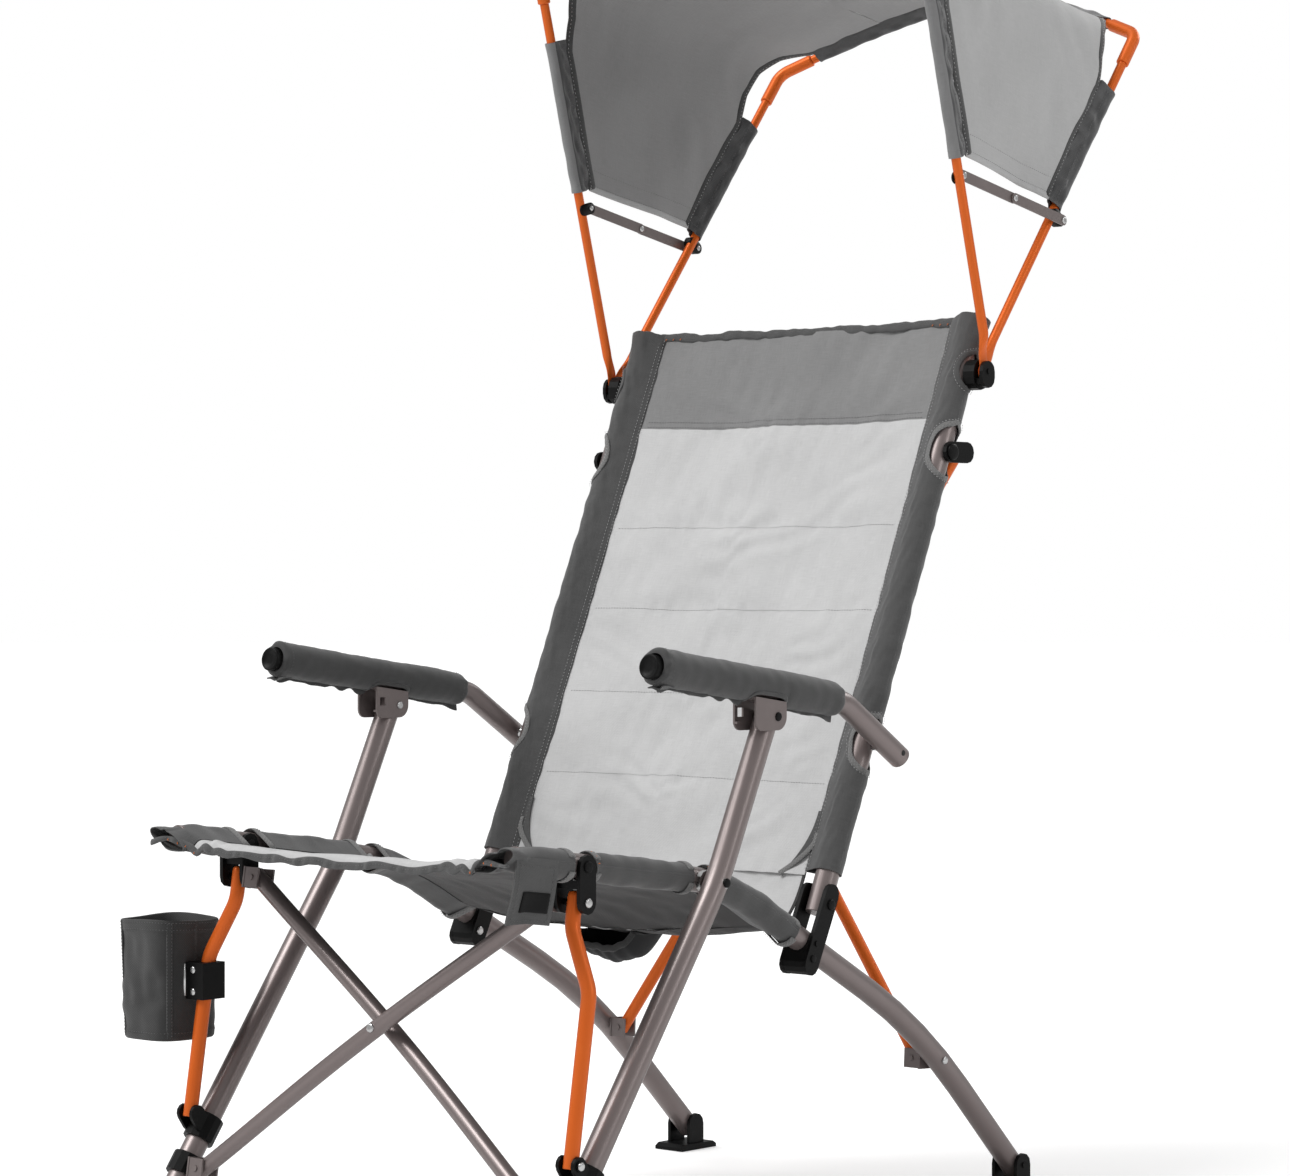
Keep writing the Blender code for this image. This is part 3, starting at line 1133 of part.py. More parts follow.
def cup_holder(webbing, plastic):
    """A tapered fabric cup with rounded corners, clamped to the right strut."""
    s = -1
    line = strut_line(s)
    anchor = line[-1]
    for a, b in zip(line, line[1:]):
        if b.z <= CUP_MID_Z <= a.z:
            anchor = a.lerp(b, (a.z - CUP_MID_Z) / (a.z - b.z))
    face = LEG_X + STRUT_R + CUP_REACH
    seat_share = (CUP_HEIGHT / 2 + CLAMP_HALF_Z) / CUP_HEIGHT
    cup_x = face + GAP + CUP_HALF * (CUP_TAPER_SHARE + (1 - CUP_TAPER_SHARE) * seat_share)
    centre = Vector((s * cup_x, anchor.y, CUP_MID_Z))
    steps = 4

    def ring(half, corner, z):
        places = []
        for quarter, (sx, sy) in enumerate(((1, 1), (-1, 1), (-1, -1), (1, -1))):
            for k in range(steps + 1):
                angle = math.pi / 2 * (quarter + k / steps)
                x = centre.x + sx * (half - corner) + corner * math.cos(angle)
                y = centre.y + sy * (half - corner) + corner * math.sin(angle)
                places.append(Vector((x, y, z)))
        return places

    low = CUP_MID_Z - CUP_HEIGHT / 2
    high = CUP_MID_Z + CUP_HEIGHT / 2
    narrow = CUP_HALF * CUP_TAPER_SHARE
    rings = [
        ring(narrow, CUP_CORNER_R, low),
        ring(CUP_HALF, CUP_CORNER_R, high),
        ring(CUP_HALF - CUP_WALL, CUP_CORNER_R - CUP_WALL, high),
        ring(narrow - CUP_WALL, CUP_CORNER_R - CUP_WALL, low + CUP_WALL),
    ]
    sides = len(rings[0])
    verts = [v for r in rings for v in r]
    faces = [tuple(reversed(range(sides))), tuple(range(3 * sides, 4 * sides))]
    for r in range(3):
        for k in range(sides):
            n = (k + 1) % sides
            faces.append((r * sides + k, r * sides + n, (r + 1) * sides + n, (r + 1) * sides + k))
    add_piece("cup_holder", webbing, [(verts, faces)], (), centre)

    near = s * (LEG_X - STRUT_R - GAP - CLAMP_T)
    low = (s * face, anchor.y - CLAMP_HALF_Y, CUP_MID_Z - CLAMP_HALF_Z)
    high = (near, anchor.y + CLAMP_HALF_Y, CUP_MID_Z + CLAMP_HALF_Z)
    cuts = [sweep(line, STRUT_R + GAP, THIN_SIDES)]
    add_piece("cup_clamp", plastic, [block(low, high)], cuts, anchor)


def set_down():
    """Shifts everything so that the origin is under the middle of the whole part, on the floor."""
    bpy.context.view_layer.update()
    corners = [found.matrix_world @ Vector(corner) for found in bpy.data.objects for corner in found.bound_box]
    low = Vector(map(min, zip(*corners)))
    high = Vector(map(max, zip(*corners)))
    shift = Vector(((low.x + high.x) / 2, (low.y + high.y) / 2, low.z))
    for found in bpy.data.objects:
        found.location -= shift
    print("size", tuple(round(v, 4) for v in high - low), "shift", tuple(round(v, 5) for v in shift))


def build():
    clear_scene()
    grey = make_material("grey_tube", (0.17, 0.14, 0.14), 0.38, 0.7)
    orange = make_material("orange_tube", (0.72, 0.16, 0.025), 0.35, 0.4)
    black = make_material("black_plastic", (0.012, 0.012, 0.012), 0.45)
    steel = make_material("bolt_steel", (0.45, 0.45, 0.45), 0.3, 1.0)
    light = make_material("light_fabric", (0.56, 0.56, 0.56), 0.9)
    middle = make_material("canopy_fabric", (0.30, 0.30, 0.30), 0.9)
    dark = make_material("dark_fabric", (0.07, 0.07, 0.07), 0.9)
    hub_front = (FRONT_BOW_ANGLE, FRONT_ROD_X, STAY_FRONT, STAY_FRONT_BACK)
    hub_rear = (REAR_BOW_ANGLE, REAR_ROD_X, STAY_REAR, STAY_REAR_BACK)
    front_pivot = bow_point(FRONT_BOW_ANGLE, STAY_FRONT, STAY_FRONT_BACK)
    rear_pivot = bow_point(REAR_BOW_ANGLE, STAY_REAR, STAY_REAR_BACK)
    stay_middle = tuple((Vector(front_pivot) + Vector(rear_pivot)) / 2)
    front_plane = brace_plane(BRACE_COLLAR, STRUT_TOP)
    rear_plane = brace_plane(REAR_BRACE_DOWN, REAR_HIGH)
    for s in (1, -1):
        seat_rail(s, grey)
        front_leg(s, grey)
        seat_pivot(s, steel)
        back_post(s, grey)
        front_link(s, black)
        rear_link(s, black)
        armrest(s, grey, dark)
        strut(s, orange)
        slide_collar(s, black)
        brace_collar(s, black)
        shoe(s, "front_foot", FRONT_FOOT, LEG_X, black)
        shoe(s, "rear_foot", REAR_FOOT, RAIL_X, black)
        brace_bracket(
            s, "front_brace_foot", BRACE_COLLAR, front_plane, FRONT_LOW_X, LEG_X - COLLAR_R - GAP,
            FRONT_BRACE_R, LEG_X - TUBE_R - 2 * GAP, grey,
        )
        brace_bracket(
            s, "front_brace_head", STRUT_TOP, front_plane, FRONT_HIGH_X, LINK_IN_X - HEAD_SPACE,
            FRONT_BRACE_R, None, grey,
        )
        brace_bracket(
            s, "rear_brace_foot", REAR_BRACE_DOWN, rear_plane, REAR_LOW_X, RAIL_X - TUBE_R - GAP,
            REAR_BRACE_R, RAIL_X + TUBE_R + HEAD_T / 2, grey,
        )
        rear_brace_head(s, black)
        brace(s, "front_brace", BRACE_COLLAR, FRONT_LOW_X, STRUT_TOP, FRONT_HIGH_X, FRONT_BRACE_R, FRONT_BRACE_BOW, grey, high_hole=True)
        brace(s, "rear_brace", REAR_BRACE_DOWN, REAR_LOW_X, REAR_HIGH, REAR_HIGH_X, REAR_BRACE_R, REAR_BRACE_BOW, orange)
        hub_bracket(s, black)
        canopy_leg(s, "canopy_front_leg", *hub_front, orange)
        canopy_leg(s, "canopy_rear_leg", *hub_rear, orange)
        stay(s, "stay_front", front_pivot, stay_middle, STAY_X, grey)
        stay(s, "stay_rear", rear_pivot, stay_middle, STAY_X + STAY_T + GAP, grey)
    arch("arch_front", FRONT_BOW_ANGLE, FRONT_ROD_X, orange)
    arch("arch_rear", REAR_BOW_ANGLE, REAR_ROD_X, orange)
    seat_sling(light)
    back_sling(light)
    pouch(dark)
    canopy_pieces(middle)
    cup_holder(dark, black)
    set_down()


build()
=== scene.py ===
# Looks of a folding canopy chair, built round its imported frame.
# Lengths are metres. Places are written in the chair's own frame: x 0 is its middle plane,
# the floor is z 0 and the sitter looks along -Y. "home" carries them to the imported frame.
import json
import math

import bpy
import numpy as np
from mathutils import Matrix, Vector


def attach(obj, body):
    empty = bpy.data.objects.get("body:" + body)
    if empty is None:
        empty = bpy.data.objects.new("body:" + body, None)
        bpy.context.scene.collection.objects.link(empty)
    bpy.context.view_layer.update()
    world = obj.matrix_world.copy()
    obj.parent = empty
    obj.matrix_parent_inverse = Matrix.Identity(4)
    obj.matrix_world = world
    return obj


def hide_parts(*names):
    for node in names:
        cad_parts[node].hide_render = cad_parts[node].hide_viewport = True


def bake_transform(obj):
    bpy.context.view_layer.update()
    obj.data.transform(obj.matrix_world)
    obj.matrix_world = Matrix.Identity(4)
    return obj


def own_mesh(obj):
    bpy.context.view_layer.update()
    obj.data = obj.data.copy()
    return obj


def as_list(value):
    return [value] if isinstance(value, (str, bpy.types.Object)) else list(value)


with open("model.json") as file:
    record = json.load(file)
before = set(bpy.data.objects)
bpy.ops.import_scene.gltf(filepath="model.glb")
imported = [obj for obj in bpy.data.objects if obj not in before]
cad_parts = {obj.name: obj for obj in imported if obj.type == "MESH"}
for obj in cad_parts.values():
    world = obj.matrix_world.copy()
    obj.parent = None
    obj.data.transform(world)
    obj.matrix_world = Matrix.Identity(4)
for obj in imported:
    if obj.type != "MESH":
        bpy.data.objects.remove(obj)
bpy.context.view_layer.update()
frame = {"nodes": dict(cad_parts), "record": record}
joints = {j["name"]: j for j in frame["record"]["behaviour"]["joints"]}

side = {"rail": 0.259, "leg": 0.293, "tube": 0.01375, "pivot": (-0.138, 0.410), "armPivot": (-0.053, 0.588)}
home = np.array([joints["fold"]["pos_m"][0] - side["rail"], joints["fold"]["pos_m"][1] - side["pivot"][0], 0.0])
travel = joints["sides_close"]["range_m"][1] - 0.0001
print("frame loaded, home", home.round(4))

post = {"foot": (0.0838, 0.3705), "lean": 0.4375, "top": 1.043, "tail": 0.012, "armBolt": 0.5485, "headBolt": 0.889,
        "hub": 0.985}
bow = {"radius": 0.540, "rise": 0.097, "bend": 1.6, "front": math.radians(-15.2), "rear": math.radians(37.5),
       "frontX": 0.29815, "rearX": 0.28635, "rod": 0.00575, "crest": (0.0030, 0.0070)}


# Places

def postPoint(z):
    # The back post's axis, a straight line that leans back.
    z = np.asarray(z, float)
    return post["foot"][0] + (z - post["foot"][1]) * post["lean"], z


def bowPoint(angle, radius, behind=0.0):
    # A point in a bow's plane: radius out from the crossing of the rods, and a distance behind the rod.
    y, z = postPoint(post["hub"])
    y, z = y + bow["crest"][0], z + bow["crest"][1]
    return (y + radius * np.sin(angle) + behind * np.cos(angle), z + radius * np.cos(angle) - behind * np.sin(angle))


def archPoint(angle, offset, x):
    # An arch rod: its height over the elbows is a hyperbola in x.
    end = math.sqrt(1 + bow["bend"] ** 2)
    here = np.sqrt(1 + (bow["bend"] * np.asarray(x, float) / offset) ** 2)
    y, z = bowPoint(angle, bow["radius"] + bow["rise"] * (end - here) / (end - 1))
    return np.stack([np.broadcast_to(x, np.shape(y)), y, z], -1)


def unit(v):
    # Vectors of length one.
    v = np.asarray(v, float)
    return v / np.maximum(np.linalg.norm(v, axis=-1, keepdims=True), 1e-12)


def filleted(corners, radii, step=math.radians(4)):
    # A polyline whose inner corners are arcs of the given radii.
    corners = [np.asarray(c, float) for c in corners]
    line = [corners[0][None]]
    for a, b, c, r in zip(corners, corners[1:], corners[2:], radii):
        back, ahead = unit(a - b), unit(c - b)
        turn = math.pi - math.acos(float(np.clip(back @ ahead, -1, 1)))
        middle = b + unit(back + ahead) * r / math.cos(turn / 2)
        first = b + back * r * math.tan(turn / 2) - middle
        last = b + ahead * r * math.tan(turn / 2) - middle
        t = np.linspace(0, 1, max(3, round(turn / step)) + 1)[:, None]
        line.append(middle + (first * np.sin((1 - t) * turn) + last * np.sin(t * turn)) / math.sin(turn))
    line.append(corners[-1][None])
    return np.concatenate(line)


def lengths(path):
    # Distance along a path at each of its points.
    return np.concatenate([[0], np.cumsum(np.linalg.norm(np.diff(path, axis=0), axis=1))])


# Meshes. A sheet is rows by columns by three, with u along the rows and v across them, in metres.

parts = []


def addMesh(name, points, faces, material, body, uv=None, replaces=(), slot=None, faceMaterials=None, sharp=40,
            squash=None, blend=None):
    # One finished piece. "squash" is its reach either side of the middle plane, "blend" its second body and two
    # places.
    mesh = bpy.data.meshes.new(name)
    mesh.from_pydata((np.asarray(points, float).reshape(-1, 3) + home).tolist(), [],
                     [tuple(map(int, f)) for f in faces])
    if uv is not None:
        layer = mesh.uv_layers.new(name="cloth")
        index = np.empty(len(mesh.loops), np.int32)
        mesh.loops.foreach_get("vertex_index", index)
        layer.data.foreach_set("uv", np.asarray(uv, float).reshape(-1, 2)[index].ravel())
    for m in material if isinstance(material, (list, tuple)) else [material]:
        mesh.materials.append(m)
    if faceMaterials is not None:
        mesh.polygons.foreach_set("material_index", np.asarray(faceMaterials, np.int32))
    piece = bpy.data.objects.new(name, mesh)
    bpy.context.scene.collection.objects.link(piece)
    mesh.shade_smooth()
    if sharp:
        mesh.set_sharp_from_angle(angle=math.radians(sharp))
    mesh.update()
    if replaces:
        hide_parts(*replaces)
    parts.append((piece, body, squash, blend))
    return piece


def gridFaces(rows, columns, wrap=False, flip=False):
    # Quads of a grid, row by row; wrap joins the last column to the first.
    r = np.arange(rows - 1)[:, None]
    c = np.arange(columns if wrap else columns - 1)[None, :]
    n = (c + 1) % columns
    quads = np.stack([r * columns + c, r * columns + n, (r + 1) * columns + n, (r + 1) * columns + c], -1).reshape(-1,
                     4)
    return quads[:, ::-1] if flip else quads


def tubeFaces(rows, sides):
    # The quads of a tube of rings, and the polygon at each end.
    ends = [list(range(sides))[::-1], [(rows - 1) * sides + k for k in range(sides)]]
    return gridFaces(rows, sides, wrap=True).tolist() + ends


def sideways(path, heading, closed=False):
    # Square to a path at each point: the unit vector nearest to a heading, and the one square to both.
    ahead = np.roll(path, -1, 0) - np.roll(path, 1, 0) if closed else np.gradient(path, axis=0)
    tangent = unit(ahead)
    a = unit(heading - (heading * tangent).sum(1, keepdims=True) * tangent)
    return a, np.cross(tangent, a), tangent


def spread(along, across, shape):
    # The uv of a tube or tape: distance along it, and distance round it.
    return np.stack([np.broadcast_to(along[:, None], shape), np.broadcast_to(across, shape)], -1)


def sheetNormals(grid):
    # The cross product of the two grid directions.
    return unit(np.cross(np.gradient(grid, axis=1), np.gradient(grid, axis=0)))


def sheetUv(grid):
    # Arc lengths of the middle column and of each row, in metres.
    rows = np.cumsum(np.concatenate([[0], np.linalg.norm(np.diff(grid, axis=0), axis=2).mean(1)]))
    across = np.concatenate([np.zeros((len(grid), 1)), np.cumsum(np.linalg.norm(np.diff(grid, axis=1), axis=2), 1)],
                            1)
    across = across - across.mean(1, keepdims=True)
    return np.stack([np.broadcast_to(rows[:, None], across.shape), across], -1)


grids = {}


def shell(name, grid, thick, material, body, under=None, **more):
    # A sheet given two faces half its thickness either side, and a rim that closes it.
    grids[name] = grid
    rows, columns = grid.shape[:2]
    normal = sheetNormals(grid)
    half = np.asarray(thick, float) / 2
    if half.ndim:
        half = half[..., None]
    top, low = grid + normal * half, grid - normal * half
    uv = sheetUv(grid)
    count = rows * columns
    at = np.arange(count).reshape(rows, columns)
    rim = np.concatenate([at[0], at[1:, -1], at[-1, -2::-1], at[-2:0:-1, 0]])
    ahead = np.roll(rim, -1)
    band = np.stack([rim, rim + count, ahead + count, ahead], 1)
    up = gridFaces(rows, columns)
    faces = np.concatenate([up, gridFaces(rows, columns, flip=True) + count, band])
    marks = None
    materials = material
    # An under material colours the lower face; the seat and the canopy use it for painted shade.
    if under is not None:
        materials = [material, under]
        marks = np.concatenate([np.zeros(len(up), int), np.ones(len(up), int), np.zeros(len(band), int)])
    return addMesh(name, np.concatenate([top.reshape(-1, 3), low.reshape(-1, 3)]), faces, materials, body,
                   uv=np.concatenate([uv.reshape(-1, 2)] * 2), faceMaterials=marks, **more)


def ringed(path, radii, sides=36, normal=None, chamfer=0.0008):
    # Points, faces and uv of a rod along a path: circles or ellipses square to it, and chamfered ends.
    path = np.asarray(path, float)
    radii = np.asarray(radii, float)
    radii = np.broadcast_to(radii if radii.ndim == 2 else radii.reshape(-1, 1), (len(path), 2))
    if normal is None:
        level = abs(unit(np.gradient(path, axis=0))[:, 0]).max() < 0.9
        normal = np.array([1.0, 0, 0]) if level else np.array([0, 0, 1.0])
    a, b, tangent = sideways(path, np.asarray(normal, float))
    first, last = path[:1] + tangent[:1] * chamfer, path[-1:] - tangent[-1:] * chamfer
    path = np.concatenate([path[:1], path[:1], first, path[1:-1], last, path[-1:], path[-1:]])
    a = np.concatenate([a[:1]] * 2 + [a] + [a[-1:]] * 2)
    b = np.concatenate([b[:1]] * 2 + [b] + [b[-1:]] * 2)
    radii = np.concatenate([radii[:1] * 0.002, radii[:1] - chamfer, radii, radii[-1:] - chamfer, radii[-1:] * 0.002])
    turn = np.linspace(0, 2 * math.pi, sides, endpoint=False)
    wide, high = radii[:, :1, None] * np.cos(turn)[None, :, None], radii[:, 1:, None] * np.sin(turn)[None, :, None]
    points = path[:, None] + a[:, None] * wide + b[:, None] * high
    uv = spread(lengths(path), turn * radii.max(), points.shape[:2])
    return points.reshape(-1, 3), tubeFaces(len(path), sides), uv.reshape(-1, 2)


def pipe(name, path, radii, material, body, sides=36, normal=None, chamfer=0.0008, **more):
    # A rod as a piece.
    points, faces, uv = ringed(path, radii, sides, normal, chamfer)
    return addMesh(name, points, faces, material, body, uv=uv, **more)


def turned(profile, centre, axis, sides=28):
    # A profile of (radius, height) pairs turned round an axis.
    axis = unit(axis)
    a = unit(np.cross(axis, [0.3, 0.5, 0.81]))
    b = np.cross(axis, a)
    turn = np.linspace(0, 2 * math.pi, sides, endpoint=False)
    p = np.asarray(profile, float)
    points = (np.asarray(centre, float) + p[:, None, 1:] * axis + p[:, None, :1]
              * (a * np.cos(turn)[None, :, None] + b * np.sin(turn)[None, :, None]))
    return points.reshape(-1, 3), tubeFaces(len(p), sides)


trims = {}


def keep(name, body, material, slot, points, faces, squash=None, blend=None):
    # Small trims of one kind on one body are gathered into one piece.
    more = {"material": material, "body": body, "slot": slot, "squash": squash, "blend": blend}
    entry = trims.setdefault(name, {"points": [], "faces": [], "count": 0, "more": more})
    entry["points"].append(np.asarray(points, float).reshape(-1, 3))
    entry["faces"] += [[int(k) + entry["count"] for k in f] for f in faces]
    entry["count"] += len(entry["points"][-1])


# Each kind of stitching: the stitch's length, the gap to the next one, and half the thread's thickness.
thread = {"backSeam": (0.0034, 0.0008, 0.00028), "bandSeam": (0.0032, 0.001, 0.0003),
          "backTack": (0.0042, 0.0001, 0.0005), "slot": (0.0026, 0.0016, 0.0003), "strip": (0.003, 0.0015, 0.00042),
          "plain": (0.0028, 0.0012, 0.0003), "hem": (0.003, 0.0012, 0.00026), "piping": (0.0032, 0.002, 0.00042),
          "round": (0.003, 0.0014, 0.0003), "gusset": (0.003, 0.0016, 0.0003), "seatTack": (0.004, 0.0001, 0.0006),
          "sleeve": (0.0028, 0.0014, 0.0003), "seatRow": (0.003, 0.0016, 0.00032),
          "sideTack": (0.004, 0.0001, 0.0005), "cupSeam": (0.0028, 0.0012, 0.00028)}


def stitches(name, body, material, slot, path, out, kind, squash=None, blend=None):
    # A row of short threads along a path: each is a bead of six points, lying on the cloth.
    length, gap, thick = thread[kind]
    path = np.asarray(path, float)
    s = lengths(path)
    starts = np.arange(gap, s[-1] - length, length + gap)
    if not len(starts):
        return
    def at(t):
        # The path at these distances.
        return np.stack([np.interp(t, s, path[:, k]) for k in range(3)], -1)
    a, b = at(starts), at(starts + length)
    out = np.asarray(out, float)
    if out.ndim > 1:
        out = unit(np.stack([np.interp(starts, s, out[:, k]) for k in range(3)], -1))
    out = np.broadcast_to(unit(out), a.shape)
    along = unit(b - a)
    wide = np.cross(along, out)
    middle = (a + b) / 2 + out * thick
    one = np.stack([a - out * thick, b - out * thick, middle + wide * thick * 1.2, middle - wide * thick * 1.2,
                    middle + out * thick * 0.9, middle - out * thick * 2], 1)
    base = np.arange(len(a))[:, None, None] * 6
    faces = (np.array([[0, 2, 4], [2, 1, 4], [1, 3, 4], [3, 0, 4], [2, 0, 5], [1, 2, 5], [3, 1, 5], [0, 3, 5]])[None]
             + base)
    keep(name, body, material, slot, one.reshape(-1, 3), faces.reshape(-1, 3), squash, blend)


# Camera, floor and light

camera = {"place": (2.9088, -3.2515, 0.738), "pitch": 89.881, "heading": 41.1345, "lens": 104.584}
lens = bpy.data.cameras.new("camera")
lens.lens = camera["lens"]
lens.sensor_width = 36
lens.sensor_fit = "HORIZONTAL"
lens.clip_end = 200
eye = bpy.data.objects.new("camera", lens)
eye.location = home + camera["place"]
eye.rotation_euler = (math.radians(camera["pitch"]), 0, math.radians(camera["heading"]))
bpy.context.scene.collection.objects.link(eye)
bpy.context.scene.camera = eye
bpy.context.scene.view_settings.view_transform = "Standard"

light = {"sky": 0.50, "sun": 1.75, "sunWide": 26, "floorGlow": 0.30, "floor": 40.0, "floorSides": 64,
         "floorLow": 0.0005, "boxes": (((-2.6, -2.6, 3.2), 1.6, 2.2, 46), ((3.4, 0.6, 2.2), 0.9, 2.4, 22),
         ((0.4, 3.2, 2.6), 2.0, 1.2, 26))}


def aimed(made, place, target=(0, 0, 0.8)):
    # Puts a light in place, turned towards a target; it belongs to the stage.
    made.location = home + place
    made.rotation_euler = (Vector(target) - Vector(place)).to_track_quat("-Z", "Y").to_euler()
    bpy.context.scene.collection.objects.link(made)


sun = bpy.data.lights.new("sun", "SUN")
sun.energy = light["sun"]
sun.angle = math.radians(light["sunWide"])
aimed(bpy.data.objects.new("sun", sun), (-1.0, -2.2, 3.4), (0, 0, 0))
for k, (place, wide, high, power) in enumerate(light["boxes"]):
    box = bpy.data.lights.new(f"softbox{k}", "AREA")
    box.shape = "RECTANGLE"
    box.size, box.size_y, box.energy = wide, high, power
    aimed(bpy.data.objects.new(f"softbox{k}", box), place)

world = bpy.data.worlds.new("studio")
bpy.context.scene.world = world
world.use_nodes = True
tree = world.node_tree
sky = tree.nodes["Background"]
rays = tree.nodes.new("ShaderNodeLightPath")
seen = tree.nodes.new("ShaderNodeMath")
seen.operation = "MULTIPLY_ADD"
tree.links.new(rays.outputs["Is Camera Ray"], seen.inputs[0])
seen.inputs[1].default_value = 1.0 - light["sky"]
seen.inputs[2].default_value = light["sky"]
tree.links.new(seen.outputs[0], sky.inputs["Strength"])
sky.inputs["Color"].default_value = (1, 1, 1, 1)

floorMesh = bpy.data.meshes.new("floor")
turn = np.linspace(0, 2 * math.pi, light["floorSides"], endpoint=False)
disc = np.stack([light["floor"] * np.cos(turn), light["floor"] * np.sin(turn), 0 * turn - light["floorLow"]], 1)
floorMesh.from_pydata(disc.tolist(), [], [list(range(len(disc)))])
floor = bpy.data.objects.new("floor", floorMesh)
bpy.context.scene.collection.objects.link(floor)
paper = bpy.data.materials.new("paper")
paper.use_nodes = True
tree = paper.node_tree
shader = tree.nodes["Principled BSDF"]
shader.inputs["Base Color"].default_value = (0.86, 0.86, 0.86, 1)
shader.inputs["Roughness"].default_value = 0.9
shader.inputs["Specular IOR Level"].default_value = 0.0
shader.inputs["Emission Color"].default_value = (1, 1, 1, 1)
rays = tree.nodes.new("ShaderNodeLightPath")
glow = tree.nodes.new("ShaderNodeMath")
glow.operation = "MULTIPLY"
tree.links.new(rays.outputs["Is Camera Ray"], glow.inputs[0])
glow.inputs[1].default_value = light["floorGlow"]
tree.links.new(glow.outputs[0], shader.inputs["Emission Strength"])
floorMesh.materials.append(paper)
print("stage set")


# Materials

def addNode(tree, kind, inputs=None, **settings):
    # A node with its inputs linked to sockets or set to values.
    made = tree.nodes.new(kind)
    for key, value in settings.items():
        setattr(made, key, value)
    for key, value in (inputs or {}).items():
        if isinstance(value, bpy.types.NodeSocket):
            tree.links.new(value, made.inputs[key])
        else:
            made.inputs[key].default_value = value
    return made


def mixed(tree, factor, a, b):
    # Two colours mixed by a factor.
    made = addNode(tree, "ShaderNodeMix", {0: factor, 6: a, 7: b}, data_type="RGBA")
    return made.outputs[2]


def maths(tree, operation, a, b=0.0):
    # One step of arithmetic on sockets or values.
    return addNode(tree, "ShaderNodeMath", {0: a, 1: b}, operation=operation).outputs[0]


def noise(tree, vector, scale, detail, **more):
    # The value of a noise texture.
    inputs = {"Vector": vector, "Scale": scale, "Detail": detail, **more}
    return addNode(tree, "ShaderNodeTexNoise", inputs).outputs[0]


def newGroup(name, inputs, outputs):
    # An empty shader group with float, colour and vector sockets, and its two end nodes.
    tree = bpy.data.node_groups.new(name, "ShaderNodeTree")
    kinds = {"f": "NodeSocketFloat", "c": "NodeSocketColor", "v": "NodeSocketVector"}
    for label, kind, value in inputs:
        socket = tree.interface.new_socket(name=label, in_out="INPUT", socket_type=kinds[kind])
        if value is not None:
            socket.default_value = value
    for label, kind in outputs:
        tree.interface.new_socket(name=label, in_out="OUTPUT", socket_type=kinds[kind])
    return tree, tree.nodes.new("NodeGroupInput").outputs, tree.nodes.new("NodeGroupOutput").inputs


def clothGroup():
    # Plain weave: the product of two sines over the cloth, with uneven yarns and a soft blotch of colour.
    tree, given, out = newGroup("wovenCloth", [("Cloth", "v", None), ("Place", "v", None),
                                ("Yarn", "c", (0.5, 0.5, 0.5, 1)), ("Shade", "c", (0.4, 0.4, 0.4, 1)),
                                ("Pitch", "f", 0.0012), ("Fade", "f", 0.5)],
                                [("Color", "c"), ("Roughness", "f"), ("Weave", "f"), ("Crease", "f")])
    split = addNode(tree, "ShaderNodeSeparateXYZ", {0: given["Cloth"]}).outputs
    wave = []
    for k in (0, 1):
        turns = maths(tree, "DIVIDE", maths(tree, "MULTIPLY", split[k], math.pi), given["Pitch"])
        wave.append(maths(tree, "SINE", turns))
    weave = maths(tree, "MULTIPLY", wave[0], wave[1])
    slubs = []
    for scale in ((60, 900, 1), (900, 60, 1)):
        drawn = addNode(tree, "ShaderNodeMapping", {"Vector": given["Cloth"], "Scale": scale}).outputs[0]
        slubs.append(noise(tree, drawn, 1.0, 2.0))
    yarns = maths(tree, "MULTIPLY", maths(tree, "ADD", *slubs), 0.5)
    blotch = noise(tree, given["Place"], 7.0, 4.0, Roughness=0.6)
    grain = maths(tree, "ADD", maths(tree, "MULTIPLY", yarns, 1.1), maths(tree, "MULTIPLY", weave, 0.10))
    amount = maths(tree, "ADD", maths(tree, "MULTIPLY", grain, 0.7), maths(tree, "MULTIPLY", blotch, given["Fade"]))
    ramp = addNode(tree, "ShaderNodeMapRange", {"Value": amount, "From Min": 0.35, "From Max": 0.95}).outputs[0]
    tree.links.new(mixed(tree, ramp, given["Shade"], given["Yarn"]), out["Color"])
    tree.links.new(maths(tree, "ADD", maths(tree, "MULTIPLY", yarns, 0.25), 0.68), out["Roughness"])
    tree.links.new(maths(tree, "ADD", weave, maths(tree, "MULTIPLY", yarns, 1.4)), out["Weave"])
    tree.links.new(noise(tree, given["Place"], 16.0, 3.0, Distortion=0.6), out["Crease"])
    return tree


def paintGroup():
    # Baked paint: fine flakes, a slight orange peel, and rubbed or dusty patches.
    tree, given, out = newGroup("bakedPaint", [("Place", "v", None), ("Paint", "c", (0.2, 0.2, 0.2, 1)),
                                ("Worn", "c", (0.3, 0.3, 0.3, 1)), ("Gloss", "f", 0.32), ("Wear", "f", 0.5)],
                                [("Color", "c"), ("Roughness", "f"), ("Height", "f")])
    flake = noise(tree, given["Place"], 2600.0, 1.0)
    peel = noise(tree, given["Place"], 420.0, 2.0)
    rub = noise(tree, given["Place"], 22.0, 5.0, Roughness=0.65, Distortion=0.4)
    patch = addNode(tree, "ShaderNodeMapRange", {"Value": rub, "From Min": 0.52, "From Max": 0.74}).outputs[0]
    worn = maths(tree, "MULTIPLY", patch, given["Wear"])
    speck = maths(tree, "MULTIPLY", maths(tree, "SUBTRACT", flake, 0.5), 0.5)
    tree.links.new(mixed(tree, maths(tree, "MAXIMUM", maths(tree, "ADD", worn, speck), 0.0), given["Paint"],
                   given["Worn"]), out["Color"])
    tree.links.new(maths(tree, "ADD", given["Gloss"], maths(tree, "MULTIPLY", rub, 0.16)), out["Roughness"])
    tree.links.new(maths(tree, "ADD", peel, maths(tree, "MULTIPLY", flake, 0.3)), out["Height"])
    return tree


groups = {"cloth": clothGroup(), "paint": paintGroup()}


